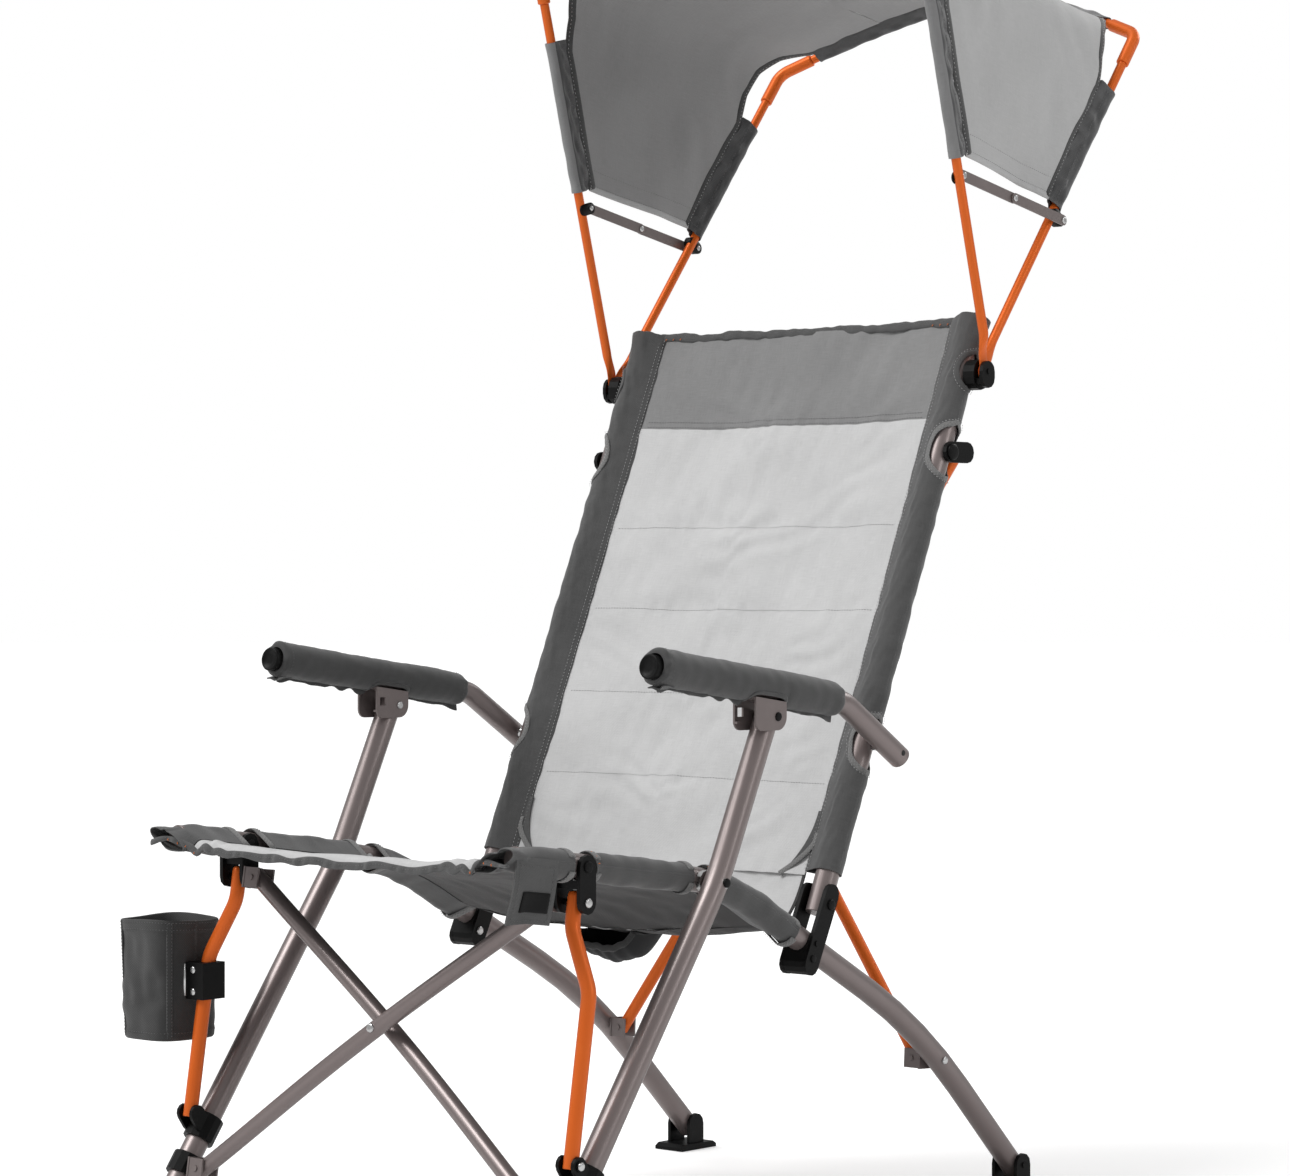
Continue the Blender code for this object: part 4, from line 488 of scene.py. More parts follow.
def grouped(name, kind, values):
    # A material whose colour and roughness come from one of the shader groups.
    made = bpy.data.materials.new(name)
    made.use_nodes = True
    tree = made.node_tree
    shader = tree.nodes["Principled BSDF"]
    place = tree.nodes.new("ShaderNodeTexCoord").outputs
    look = addNode(tree, "ShaderNodeGroup", node_tree=groups[kind])
    tree.links.new(place["Object"], look.inputs["Place"])
    for key, value in values.items():
        look.inputs[key].default_value = value
    tree.links.new(look.outputs["Color"], shader.inputs["Base Color"])
    tree.links.new(look.outputs["Roughness"], shader.inputs["Roughness"])
    return made, tree, shader, look, place


def bumped(tree, height, distance, strength, **more):
    # The normal of a bump node.
    inputs = {"Height": height, "Distance": distance, "Strength": strength, **more}
    return addNode(tree, "ShaderNodeBump", inputs).outputs[0]


def clothMaterial(name, yarn, shade, pitch=0.0012, weave=0.00010, crease=0.0016, sheen=0.25, fade=0.5):
    # Woven cloth, its weave in metres on the piece's own uv.
    values = {"Yarn": (*yarn, 1), "Shade": (*shade, 1), "Pitch": pitch, "Fade": fade}
    made, tree, shader, look, place = grouped(name, "cloth", values)
    tree.links.new(place["UV"], look.inputs["Cloth"])
    soft = bumped(tree, look.outputs["Crease"], crease, 0.6)
    tree.links.new(bumped(tree, look.outputs["Weave"], weave, 0.7, Normal=soft), shader.inputs["Normal"])
    shader.inputs["Sheen Weight"].default_value = sheen
    shader.inputs["Sheen Roughness"].default_value = 0.5
    shader.inputs["Specular IOR Level"].default_value = 0.25
    return made


def paintMaterial(name, paint, worn, metallic, gloss, wear=0.35, peel=0.00006, coat=0.0, shine=0.5):
    # Paint, plastic, plated steel and thread.
    values = {"Paint": (*paint, 1), "Worn": (*worn, 1), "Gloss": gloss, "Wear": wear}
    made, tree, shader, look, _ = grouped(name, "paint", values)
    tree.links.new(bumped(tree, look.outputs["Height"], peel, 0.6), shader.inputs["Normal"])
    shader.inputs["Metallic"].default_value = metallic
    shader.inputs["Specular IOR Level"].default_value = shine
    shader.inputs["Coat Weight"].default_value = coat
    shader.inputs["Coat Roughness"].default_value = 0.15
    return made


def grey(value):
    # A neutral colour.
    return value, value, value


greyPaint = paintMaterial("tubePaint", (0.200, 0.165, 0.160), (0.25, 0.215, 0.21), 0.55, 0.29, 0.15, 0.00003,
                          coat=0.2)
bracketPaint = paintMaterial("bracketPaint", (0.165, 0.137, 0.133), (0.24, 0.21, 0.20), 0.35, 0.36)
orangePaint = paintMaterial("orangePaint", (0.66, 0.118, 0.011), (0.70, 0.17, 0.03), 0.35, 0.32, 0.15, 0.00003,
                            coat=0.05, shine=0.3)
blackPlastic = paintMaterial("mouldedPlastic", grey(0.0035), (0.012, 0.012, 0.0125), 0.0, 0.34, 0.3, 0.00012,
                             shine=0.12)
boltSteel = paintMaterial("platedSteel", grey(0.55), (0.38, 0.37, 0.36), 1.0, 0.18, 0.6)
# Painted shade: a dark colour for the shaded inside of the arm tube's hole.
holeShadePaint = paintMaterial("darkSocket", grey(0.02), grey(0.05), 0.5, 0.5)
lightCloth = clothMaterial("panelCloth", grey(0.585), grey(0.43), crease=0.0030, sheen=0.1)
# Painted shade: a dark grey for the seat's lower face, standing in for the shade under the sheet.
underCloth = clothMaterial("underCloth", (0.052, 0.050, 0.050), (0.030, 0.029, 0.029), sheen=0.1)
coverCloth = clothMaterial("armCloth", grey(0.068), grey(0.036))
bandCloth = clothMaterial("bandCloth", grey(0.250), grey(0.150))
sleeveCloth = clothMaterial("sleeveCloth", grey(0.088), grey(0.045))
canopyCloth = clothMaterial("canopyCloth", grey(0.460), grey(0.335), crease=0.0014, fade=0.35, sheen=0.15)
# Painted shade: a darker copy of the canopy cloth for its inner face, which is shaded by the canopy itself.
canopyInside = clothMaterial("canopyInside", (0.300, 0.298, 0.298), (0.215, 0.213, 0.213), crease=0.0014, fade=0.35)
rearGussetCloth = clothMaterial("rearGussetCloth", (0.078, 0.078, 0.079), (0.042, 0.042, 0.043), crease=0.0022,
        sheen=0.35)
edgeTape = clothMaterial("edgeTape", grey(0.060), grey(0.032), pitch=0.0016)
tapeCloth = clothMaterial("tapeCloth", (0.215, 0.213, 0.210), grey(0.10), pitch=0.0022, weave=0.00035)
darkCloth = clothMaterial("holderCloth", grey(0.050), grey(0.025), pitch=0.0014, weave=0.00018)
pocketCloth = clothMaterial("pocketCloth", (0.016, 0.016, 0.017), (0.008, 0.008, 0.009), sheen=0.1)
rodSleeveCloth = clothMaterial("rodSleeveCloth", (0.225, 0.225, 0.226), (0.150, 0.150, 0.151), crease=0.0014,
        sheen=0.2)
pleatCloth = clothMaterial("pleatCloth", (0.074, 0.074, 0.075), (0.042, 0.042, 0.043), crease=0.0022, sheen=0.3)
whiteThread = paintMaterial("paleThread", grey(0.42), grey(0.30), 0.0, 0.7)
greyThread = paintMaterial("greyThread", grey(0.13), grey(0.20), 0.0, 0.7)
orangeThread = paintMaterial("orangeThread", (0.70, 0.17, 0.03), (0.6, 0.2, 0.06), 0.0, 0.7)

looks = {"grey_tube": greyPaint, "orange_tube": orangePaint, "bracket_metal": bracketPaint,
         "black_plastic": blackPlastic, "bolt_steel": boltSteel, "seat_fabric": sleeveCloth,
         "back_fabric": lightCloth, "canopy_fabric": canopyCloth, "dark_fabric": darkCloth}
for entry in frame["record"]["subparts"]:
    node = frame["nodes"][entry["node"]]
    node.data.materials.clear()
    node.data.materials.append(looks[entry["material_slot"]])
print("materials made")


# Tubes

tube = {"pad": 0.010, "rail": ((-0.425, 0.4493), (-0.0886, 0.4062), (0.2688, 0.2128), (0.456, 0.032)),
        "railBends": (0.35, 0.80), "legFoot": (-0.4106, 0.032), "legHead": 0.0042, "armFront": (-0.245, 0.6455),
        "armBend": (0.083, 0.6005), "armEnd": (0.1655, 0.5485), "armTail": 0.028, "arm": 0.0130}


def stretched(a, b, more):
    # The point beyond b on the line from a, further by this much.
    a, b = np.asarray(a, float), np.asarray(b, float)
    return b + unit(b - a) * more


def planar(x, points):
    # Points of the plane at x, given as pairs of y and z.
    return [np.array([x, *p]) for p in points]


def halves():
    # The left half and the right half, with the sign of x.
    for name, s in (("left", 1), ("right", -1)):
        yield name, s


def squashKeep(x):
    # The share of the width left at the folded limit, for a piece whose ends are at plus and minus x.
    return 1 - travel / (2 * x)


for name, s in halves():
    a, b, c, d = tube["rail"]
    rail = filleted(planar(s * side["rail"], (a, b, c, stretched(c, d, tube["pad"]))), tube["railBends"])
    pipe("seatRailTube_" + name, rail, side["tube"], greyPaint, "seat_rail_" + name, replaces=["seat_rail_" + name],
         slot="grey_tube")
    top = stretched(side["pivot"], side["armPivot"], tube["legHead"])
    leg = filleted(planar(s * side["leg"], (stretched(side["pivot"], tube["legFoot"], tube["pad"]), side["pivot"],
                   top)), (0.30,))
    pipe("frontLegTube_" + name, leg, side["tube"], greyPaint, "front_leg_" + name, replaces=["front_leg_" + name],
         slot="grey_tube")
    low = stretched(postPoint(post["top"]), post["foot"], post["tail"])
    stand = planar(s * side["rail"], (low, postPoint(post["top"])))
    pipe("backPostTube_" + name, np.array(stand), side["tube"], greyPaint, "back_post_" + name,
         replaces=["back_post_" + name], slot="grey_tube")
print("tubes made")


# Soft pieces

def ripples(u, v, length, seed, count=7, along=1.0):
    # A sum of sines of about one wave length, in random headings: 0 on average, about 1 high.
    pick = np.random.default_rng(seed)
    total = 0.0
    for _ in range(count):
        heading = pick.uniform(0, 2 * math.pi)
        wave = 2 * math.pi / (length * pick.uniform(0.7, 1.6))
        total = (total + np.sin(wave * (u * math.cos(heading) * along + v * math.sin(heading))
                 + pick.uniform(0, 2 * math.pi)))
    return total / math.sqrt(count / 2)


def band(name, path, outward, half, thick, material, body, closed=True, **more):
    # A tape laid along a path: an ellipse in section, its wide side square to the outward direction.
    path = np.asarray(path, float)
    a, b, _ = sideways(path, outward, closed)
    sides = 12
    turn = np.linspace(0, 2 * math.pi, sides, endpoint=False)
    high, wide = thick * np.cos(turn)[None, :, None], half * np.sin(turn)[None, :, None]
    grid = path[:, None] + a[:, None] * high + b[:, None] * wide
    uv = spread(lengths(path), half * np.sin(turn), grid.shape[:2])
    faces = tubeFaces(len(path), sides)
    if closed:
        last = (len(path) - 1) * sides
        faces[-2:] = [[last + k, last + (k + 1) % sides, (k + 1) % sides, k] for k in range(sides)]
    return addMesh(name, grid, faces, material, body, uv=uv, sharp=0, **more)


def sock(name, path, away, radius, thick, material, body, tip=None, opened=None, columns=56, bumps=None, **more):
    # Cloth round a tube. Angle 0 points "away" and pi the other way, where the cloth can run out to a flat tip.
    # "opened" is the half angle left open at each place, 0 where the cloth is closed.
    path = np.asarray(path, float)
    rows = len(path)
    a, b, _ = sideways(path, away)
    gap = np.zeros(rows) if opened is None else np.asarray(opened, float)
    turn = gap[:, None] + (2 * math.pi - 2 * gap[:, None]) * np.linspace(0, 1, columns)[None, :]
    r = np.broadcast_to(np.asarray(radius, float).reshape(-1, 1), turn.shape).copy()
    if tip is not None:
        w = np.asarray(tip, float).reshape(-1, 1)
        meet = np.arccos(np.clip(r / w, -1, 1))
        r = r / np.cos(np.maximum(meet - np.abs(turn - math.pi), 0))
    s = lengths(path)
    if bumps is not None:
        around = np.stack([np.cos(turn), np.sin(turn)])
        r = r + bumps(s[:, None], around)
    outer = path[:, None] + a[:, None] * (r * np.cos(turn))[..., None] + b[:, None] * (r * np.sin(turn))[..., None]
    shrink = np.maximum(1 - thick / r, 0.05)[..., None]
    inner = path[:, None] + (outer - path[:, None]) * shrink
    count = rows * columns
    at = np.arange(count).reshape(rows, columns)
    closed = (gap[:-1] < 1e-6) & (gap[1:] < 1e-6)
    skin = gridFaces(rows, columns)
    faces = np.concatenate([skin, skin[:, ::-1] + count]).tolist()
    for row in np.nonzero(~closed)[0]:
        for c, flip in ((0, False), (columns - 1, True)):
            quad = [at[row, c], at[row + 1, c], at[row + 1, c] + count, at[row, c] + count]
            faces.append(quad[::-1] if flip else quad)
    for row, flip in ((0, True), (rows - 1, False)):
        for c in range(columns - 1):
            quad = [at[row, c], at[row, c + 1], at[row, c + 1] + count, at[row, c] + count]
            faces.append(quad[::-1] if flip else quad)
    uv = np.stack([np.broadcast_to(s[:, None], r.shape), (turn - math.pi) * np.mean(radius)], -1).reshape(-1, 2)
    points = np.concatenate([outer.reshape(-1, 3), inner.reshape(-1, 3)])
    # The seam's two columns become one where the cloth is closed.
    index = np.arange(2 * count)
    shut = gap < 1e-6
    for off in (0, count):
        index[at[shut, -1] + off] = at[shut, 0] + off
    used, index = np.unique(index, return_inverse=True)
    faces = [[int(index[k]) for k in f] for f in faces]
    piece = addMesh(name, points[used], faces, material, body, uv=np.concatenate([uv, uv])[used], sharp=60, **more)
    edge = None
    if opened is not None:
        edge = {"left": outer[:, 0], "right": outer[:, -1], "gap": gap, "outLeft": unit(outer[:, 0] - path),
                "outRight": unit(outer[:, -1] - path)}
    return piece, edge, outer


def holes(edge):
    # The closed outlines of a sock's openings, each with its outward directions.
    gap = edge["gap"]
    inside = gap > 1e-6
    starts = np.nonzero(inside & ~np.roll(inside, 1))[0]
    for start in starts:
        stop = start
        while stop < len(gap) and inside[stop]:
            stop += 1
        lo, hi = max(start - 1, 0), min(stop, len(gap) - 1)
        left, right = slice(lo, hi + 1), slice(lo + 1, hi)
        yield (np.concatenate([edge["left"][left], edge["right"][right][::-1]]),
               np.concatenate([edge["outLeft"][left], edge["outRight"][right][::-1]]))


def ellipseGap(s, openings):
    # The half angle of round openings along a sock: (middle, half length, half angle) each.
    gap = np.zeros(len(s))
    for middle, half, angle in openings:
        share = (s - middle) / half
        gap = np.maximum(gap, angle * np.sqrt(np.clip(1 - share ** 2, 0, 1)))
    return np.where(gap < math.radians(4), 0, gap)


def spaced(start, stop, gap, openings=()):
    # Places along a line, closer together where an opening starts and ends.
    places = [np.linspace(start, stop, round(abs(stop - start) / gap) + 1)]
    for middle, half, _ in openings:
        places.append(middle - half * np.cos(np.linspace(0, math.pi, 25)))
    merged = np.unique(np.concatenate(places).round(6))
    wanted = np.concatenate([[True], np.diff(merged) > gap * 0.12])
    return merged[wanted]


# Back

back = {"low": 0.405, "lap": 0.0042, "top": 1.046, "half": 0.2225, "sag": 0.016, "lowShare": 0.30,
        "seams": (0.808, 0.708, 0.606, 0.507), "bandLow": 0.931, "sagTop": 1.052, "beyond": 0.0045, "in": 0.004,
        "sleeve": 0.0162, "cloth": 0.0013, "slots": ((post["armBolt"], 0.031, math.radians(100)),
        (post["headBolt"], 0.031, math.radians(100)), (post["hub"], 0.021, math.radians(66)))}
# The folds' heights, widths and wave lengths.
folds = {"lowSeam": 0.403, "puff": (0.0014, 0.012), "gather": (0.0005, 0.010, 0.021),
         "diagonal": (0.00208, 0.105, 0.80, 0.11), "soft": ((0.0016, 0.17, 5, 1.0), (0.0004, 0.05, 8, 1.6)),
         "wrinkle": (0.0013, 0.046), "lap": (0.0016, 0.009)}
leanUnit = unit(np.array([post["lean"], 1.0]))
forward = np.array([0, -leanUnit[1], leanUnit[0]])


def backPoint(x, z, lift=0.0):
    # The back sheet at a distance from the middle plane and a height: the sag goes behind the posts.
    share = (z - back["low"]) / (back["sagTop"] - back["low"])
    full = back["lowShare"] + (1 - back["lowShare"]) * np.sin(math.pi * np.clip(share, 0, 1))
    sag = back["sag"] * (1 - (x / side["rail"]) ** 2) * full - lift
    y, zz = postPoint(z)
    return np.stack(np.broadcast_arrays(x, y + sag * leanUnit[1], zz - sag * leanUnit[0]), -1)


def backRelief(x, z):
    # How far the cloth stands forward: puffed between the seams and creased along them, with soft folds.
    lines = np.array([*back["seams"], back["bandLow"], folds["lowSeam"]])
    near = np.abs(z[..., None] - lines).min(-1)
    edge = 1 - np.clip(np.abs(x) / back["half"], 0, 1) ** 6

    def hill(distance, width):
        return np.exp(-(distance / width) ** 2)

    high, width = folds["puff"]
    puff = high * (1 - hill(near, width))
    high, width, length = folds["gather"]
    gather = high * hill(near, width) * np.sin(x * 2 * math.pi / length + 3 * np.sin(x * 19))
    # Pulled slantwise from the upper corners.
    high, length, middle, width = folds["diagonal"]
    slant = (np.abs(x - 0.02) * 0.8 + z) * 2 * math.pi / length
    diagonal = high * np.sin(slant + 1.2) * hill(z - middle, width)
    soft = sum(high * ripples(x, z, length, seed, along=along) for high, length, seed, along in folds["soft"])
    # Long wrinkles that run up towards each side, stronger in some places than in others.
    high, length = folds["wrinkle"]
    slant = np.where(x > -0.03, z - 0.42 * x, z + 0.34 * x) * 2 * math.pi / length
    patchy = np.clip(0.45 + 0.8 * ripples(x, z, 0.16, 41), 0, 1)
    wrinkle = high * np.sin(slant + 2.2 * ripples(x, z, 0.13, 42)) * patchy
    high, width = folds["lap"]
    return (puff + gather + diagonal + soft + wrinkle) * edge + high * hill(z - back["low"] + back["lap"], width)


z = spaced(back["low"] - back["lap"], back["top"], 0.0032)
reach = back["half"] + back["beyond"]
x = np.linspace(-reach, reach, 112)
gridX, gridZ = np.meshgrid(x, z)
sheetGrid = backPoint(gridX, gridZ, backRelief(gridX, gridZ))
top = (gridZ[:-1, :-1] + gridZ[1:, 1:]) / 2 > back["bandLow"]
backSheet = shell("backPanel", sheetGrid[:, ::-1], back["cloth"], lightCloth, "back_post_left",
                  replaces=["back_sling"], slot="back_fabric", squash=side["rail"])
backSheet.data.materials.append(bandCloth)
marks = np.zeros(len(backSheet.data.polygons), np.int32)
cells = top.size
marks[:cells] = top[:, ::-1].ravel()
marks[cells:2 * cells] = top[:, ::-1].ravel()
backSheet.data.polygons.foreach_set("material_index", marks)

line = np.linspace(-back["half"] + back["in"], back["half"] - back["in"], 150)
for height in back["seams"]:
    bowed = height - 0.0035 * (line / back["half"]) ** 2
    for lift, way in ((0.0009, 1), (-0.0009, -1)):
        path = backPoint(line, bowed, backRelief(line, bowed) + lift)
        stitches("backSeams", "back_post_left", greyThread, "back_fabric", path, forward * way, "backSeam",
                 squash=side["rail"])
for over in (0.002, 0.008):
    height = np.full_like(line, back["bandLow"] + over)
    path = backPoint(line, height, backRelief(line, height) + 0.0010)
    stitches("bandSeams", "back_post_left", greyThread, "back_fabric", path, forward, "bandSeam", squash=side["rail"])

# A corner of sleeve cloth at each side's low end, cut in a hollow curve and bound with tape.
corner = {"high": 0.472, "low": 0.400, "reach": 0.032, "width": 0.012, "lift": 0.0030}
for name, s in halves():
    u, v = np.meshgrid(np.linspace(0, 1, 30), np.linspace(0, 1, 12), indexing="ij")
    drop = corner["high"] + (corner["low"] - corner["high"]) * u
    inner = back["half"] + 0.001 - corner["reach"] * u ** 2.2
    outer = (back["half"] + corner["width"] - (corner["width"] + corner["reach"] - 0.003)
             * np.clip((u - 0.45) / 0.55, 0, 1) ** 1.5)
    grid = backPoint(s * (inner + (outer - inner) * v), drop, corner["lift"])
    shell("backCorner_" + name, grid if s < 0 else grid[:, ::-1], 0.0012, sleeveCloth, "back_post_left",
          slot="back_fabric", squash=side["rail"])
    edge = backPoint(s * (outer[10:, 0] - 0.003), drop[10:, 0], corner["lift"] + 0.0012)
    facing = np.broadcast_to(forward, edge.shape)
    band("backCornerTape_" + name, edge, facing, 0.0036, 0.0010, tapeCloth, "back_post_left", closed=False,
         slot="back_fabric", squash=side["rail"])

# The rolled hem along the top, with a few tacks near its ends.
line = np.linspace(-side["rail"] - 0.012, side["rail"] + 0.012, 160)
height = (back["top"] + 0.001 + 0.0008 * ripples(line, 0 * line, 0.09, 21) + 0.004
          * np.exp(-((np.abs(line) - 0.262) / 0.014) ** 2))
hem = backPoint(np.clip(line, -side["rail"], side["rail"]), height, 0.0012)
hem[:, 0] = line
pipe("backTopHem", hem, np.stack([0.0030 + 0.0004 * np.sin(line * 260),
     0.0058 + 0.0006 * ripples(line, 0 * line, 0.02, 5)], 1), sleeveCloth, "back_post_left", sides=20, normal=forward,
     slot="back_fabric", squash=side["rail"])
for name, s in halves():
    for k in range(5):
        at = s * (0.200 + 0.0115 * k)
        tack = backPoint(np.array([at - 0.0007, at + 0.0025]), np.array([back["top"] - 0.0040, back["top"] + 0.0015]),
                         np.array([0.0046, 0.0048]))
        stitches("backTacks", "back_post_left", orangeThread, "back_fabric", np.array([tack[0], tack[1]]), forward,
                 "backTack", squash=side["rail"])

for name, s in halves():
    z = spaced(back["low"], back["top"] + 0.004, 0.0045, back["slots"])
    y, _ = postPoint(z)
    path = np.stack([np.full_like(z, s * side["rail"]), y, z], 1)
    seam = backPoint(np.full_like(z, s * back["half"]), z)
    inward = seam - path
    flare = 1 + 0.22 * np.exp(-((z - back["top"] - 0.004) / 0.016) ** 2)
    gap = ellipseGap(z, back["slots"])
    piece, edge, outer = sock("backSleeve_" + name, path, -unit(inward), back["sleeve"] * flare, 0.0011, sleeveCloth,
                              "back_post_" + name, tip=np.linalg.norm(inward, axis=1), opened=gap, bumps=lambda along,
                              around: 0.00035 * ripples(along * 1.0, around[1] * 0.012, 0.05, 31 + (s > 0)) + 0.0003
                              * ripples(along, around[0] * 0.03, 0.02, 77), slot="back_fabric")
    for k, (outline, out) in enumerate(holes(edge)):
        band(f"slotBinding_{name}_{k}", outline + out * 0.0004, out, 0.0034, 0.0011,
             tapeCloth if k < 2 else sleeveCloth, "back_post_" + name, slot="back_fabric")
        middle = outline.mean(0)
        wide = outline + unit(outline - middle) * 0.0050
        wide = np.concatenate([wide, wide[:1]])
        stitches("slotStitches_" + name, "back_post_" + name, whiteThread, "back_fabric",
                 wide + np.concatenate([out, out[:1]]) * 0.0006, np.concatenate([out, out[:1]]), "slot")
    for off in (0.004, 0.0095):
        inner = backPoint(np.full_like(z, s * (back["half"] + off)), z)
        raised = inner + (0, -0.0016 - off * 0.33, 0.0007 + off * 0.14)
        stitches("stripStitches_" + name, "back_post_" + name, whiteThread, "back_fabric", raised, forward, "strip")
print("back made")


# Struts, braces and arm tubes

strut = {"radius": 0.00825, "top": (-0.330, 0.3991), "low": (-0.3737, 0.1305), "knee": 0.10, "jog": 0.34,
         "bend": 0.040, "tip": 0.0042, "head": 0.0122}
brace = {"front": {"radius": 0.0095, "low": (-0.3825, 0.0710), "lowX": 0.26115, "high": (-0.330, 0.3991),
         "highX": 0.22525, "bow": 0.0124, "paint": greyPaint, "slot": "grey_tube"},
         "rear": {"radius": 0.0075, "low": (0.303, 0.1725), "lowX": 0.23165, "high": (0.3414, 0.889),
         "highX": 0.26255, "bow": -0.0085, "paint": orangePaint, "slot": "orange_tube"}, "tip": 0.004, "shape": 1.5}


def strutLine(s):
    # Down from the link, out past the rail's side and down to the collar.
    top = np.array([s * side["rail"], *strut["top"]])
    low = np.array([s * side["leg"], *strut["low"]])
    knee, jog = top + (low - top) * strut["knee"], top + (low - top) * strut["jog"]
    knee[0], jog[0] = top[0], low[0]
    return filleted([stretched(knee, top, strut["head"]), knee, jog, stretched(jog, low, strut["tip"])],
                    (strut["bend"],) * 2)


def bracePoint(kind, s, share):
    # From a low pin to the high pin of the other side, bowed out of its plane at the crossing.
    d = brace[kind]
    start, end = np.array([s * d["lowX"], *d["low"]]), np.array([-s * d["highX"], *d["high"]])
    up = unit(np.array(d["high"]) - d["low"])
    share = np.asarray(share, float)[:, None]
    return (start + (end - start) * share + np.array([0, up[1], -up[0]]) * s * d["bow"]
            * np.sin(math.pi * np.clip(share, 0, 1)) ** brace["shape"])


def dome(name, body, material, slot, centre, axis, radius, high, sides=20):
    # A low rivet or bolt head: a rounded cap on a short skirt.
    t = np.linspace(0, math.pi / 2, 6)
    profile = [(0.00005, -0.0006), (radius, -0.0006)]
    profile += [(radius * (0.55 + 0.45 * math.cos(a)) if a < 1.5 else 0.00005, high * (0.35 + 0.65 * math.sin(a)))
                for a in t[:-1]]
    profile += [(radius * 0.28, high * 0.985), (0.00005, high)]
    points, faces = turned(profile, centre, axis, sides)
    keep(name, body, material, slot, points, faces)


def steelDome(name, body, centre, axis, radius, high):
    dome(name, body, boltSteel, "bolt_steel", centre, axis, radius, high)


for name, s in halves():
    line = strutLine(s)
    line = np.concatenate([line[:1], [line[0] + unit(line[1] - line[0]) * d for d in (0.0012, 0.003, 0.006)],
                          line[1:]])
    radii = np.full(len(line), strut["radius"])
    radii[:3] = strut["radius"] * np.array([0.55, 0.78, 0.95])
    pipe("strutTube_" + name, line, radii, orangePaint, "strut_" + name, replaces=["strut_" + name],
         slot="orange_tube")
    for kind in ("front", "rear"):
        d = brace[kind]
        path = bracePoint(kind, s, np.linspace(0, 1, 41))
        path[0], path[-1] = (path[0] - unit(path[1] - path[0]) * brace["tip"], path[-1] + unit(path[-1] - path[-2])
             * brace["tip"])
        pipe(f"{kind}BraceTube_{name}", path, d["radius"], d["paint"], f"{kind}_brace_{name}",
             replaces=[f"{kind}_brace_{name}"], slot=d["slot"])
cross = brace["front"]["lowX"] / (brace["front"]["lowX"] + brace["front"]["highX"])
pinHeading = unit(np.array([0, brace["front"]["high"][1] - brace["front"]["low"][1], brace["front"]["low"][0]
                  - brace["front"]["high"][0]]))
middle = bracePoint("front", -1, [cross])[0]
steelDome("crossRivet", "front_brace_right", middle - pinHeading * (brace["front"]["radius"] - 0.0004), -pinHeading,
          0.0052, 0.0026)

arm = {"mouth": 0.0153, "cover": 0.0204, "rear": 0.0136, "roundFront": 0.0046, "roundRear": 0.0100, "lift": 0.0015,
       "start": 0.0030, "stopBack": 0.016, "cloth": 0.0016, "openFront": 0.0395, "openRear": 0.0170,
       "openHalf": math.radians(63), "bend": 0.050, "plug": 0.0137, "plugIn": 0.006, "hole": 0.012, "bolt": 0.0035,
       "washer": 0.0062, "washerThick": 0.0028, "boltOut": 0.0031, "screwOut": 0.0028, "rows": (0.0095, 0.0090)}
armFolds = {"mouth": (0.0012, 0.006), "rear": (0.0007, 0.012), "long": (0.0003, 0.075), "short": (0.0002, 0.022),
            "seam": (0.0042, 0.0012, 0.03), "seamEnds": ((0.0040, 0.012), (0.003, 0.014)), "flap": 0.022}


def squareGap(s, middle, half, angle, power=5):
    # The half angle of an opening with nearly straight sides and round ends.
    share = np.clip(np.abs((s - middle) / half), 0, 1)
    gap = angle * (1 - share ** power) ** (1 / power)
    return np.where(gap < math.radians(5), 0, gap)


def armRod(name, s, body):
    # The bent tube with its end plug, the hole near its tail, and the bolt into the back post.
    x = s * side["leg"]
    front, bend, rear = (np.array([x, *tube[k]]) for k in ("armFront", "armBend", "armEnd"))
    line = filleted([front, bend, stretched(bend, rear, tube["armTail"])], (arm["bend"],))
    pipe("armTube_" + name, line, tube["arm"], greyPaint, body, replaces=["armrest_tube_" + name], slot="grey_tube")
    heading, tailward = unit(bend - front), unit(rear - bend)
    hole = line[-1] - tailward * arm["hole"] + (s * (tube["arm"] - 0.0004), 0, 0)
    # The hole is a low dark dome on the tube: the shade inside it is painted.
    dome("armHole_" + name, body, holeShadePaint, "black_plastic", hole, (s, 0, 0), 0.0034, 0.0009)
    r, deep = arm["plug"], arm["plugIn"]
    profile = [(0.00005, deep), (r, deep), (r, -0.0052), (r - 0.0006, -0.0060), (r - 0.0016, -0.0062),
               (r * 0.80, -0.0060), (r * 0.76, -0.0050), (r * 0.30, -0.0049), (0.00005, -0.0049)]
    points, faces = turned(profile, front, heading, 36)
    keep("armPlug_" + name, body, blackPlastic, "black_plastic", points, [f[::-1] for f in faces])
    inner, past = side["rail"] - side["tube"] - arm["boltOut"], side["rail"] + side["tube"] + 0.0003
    for x0, x1, radius in ((inner, inner + arm["washerThick"], arm["washer"]), (inner, side["leg"], arm["bolt"]),
                           (past, side["leg"], arm["washer"])):
        ends = np.array([[s * x0, rear[1], rear[2]], [s * x1, rear[1], rear[2]]])
        points, faces, _ = ringed(ends, radius, 20, normal=(0, 0, 1.0), chamfer=0.0004)
        keep("armBolt_" + name, body, boltSteel, "bolt_steel", points, faces)
    for label, way, paint, slot, radius, high in (("armRivet_", -1, boltSteel, "bolt_steel", 0.0048, 0.0024),
                                                  ("armScrew_", 1, blackPlastic, "black_plastic", 0.0050, 0.0022)):
        out = side["leg"] + way * (side["tube"] + arm["screwOut"])
        dome(label + name, body, paint, slot, (s * out, *side["armPivot"]), (s * way, 0, 0), radius, high)
    return front, heading, np.linalg.norm(bend - front)


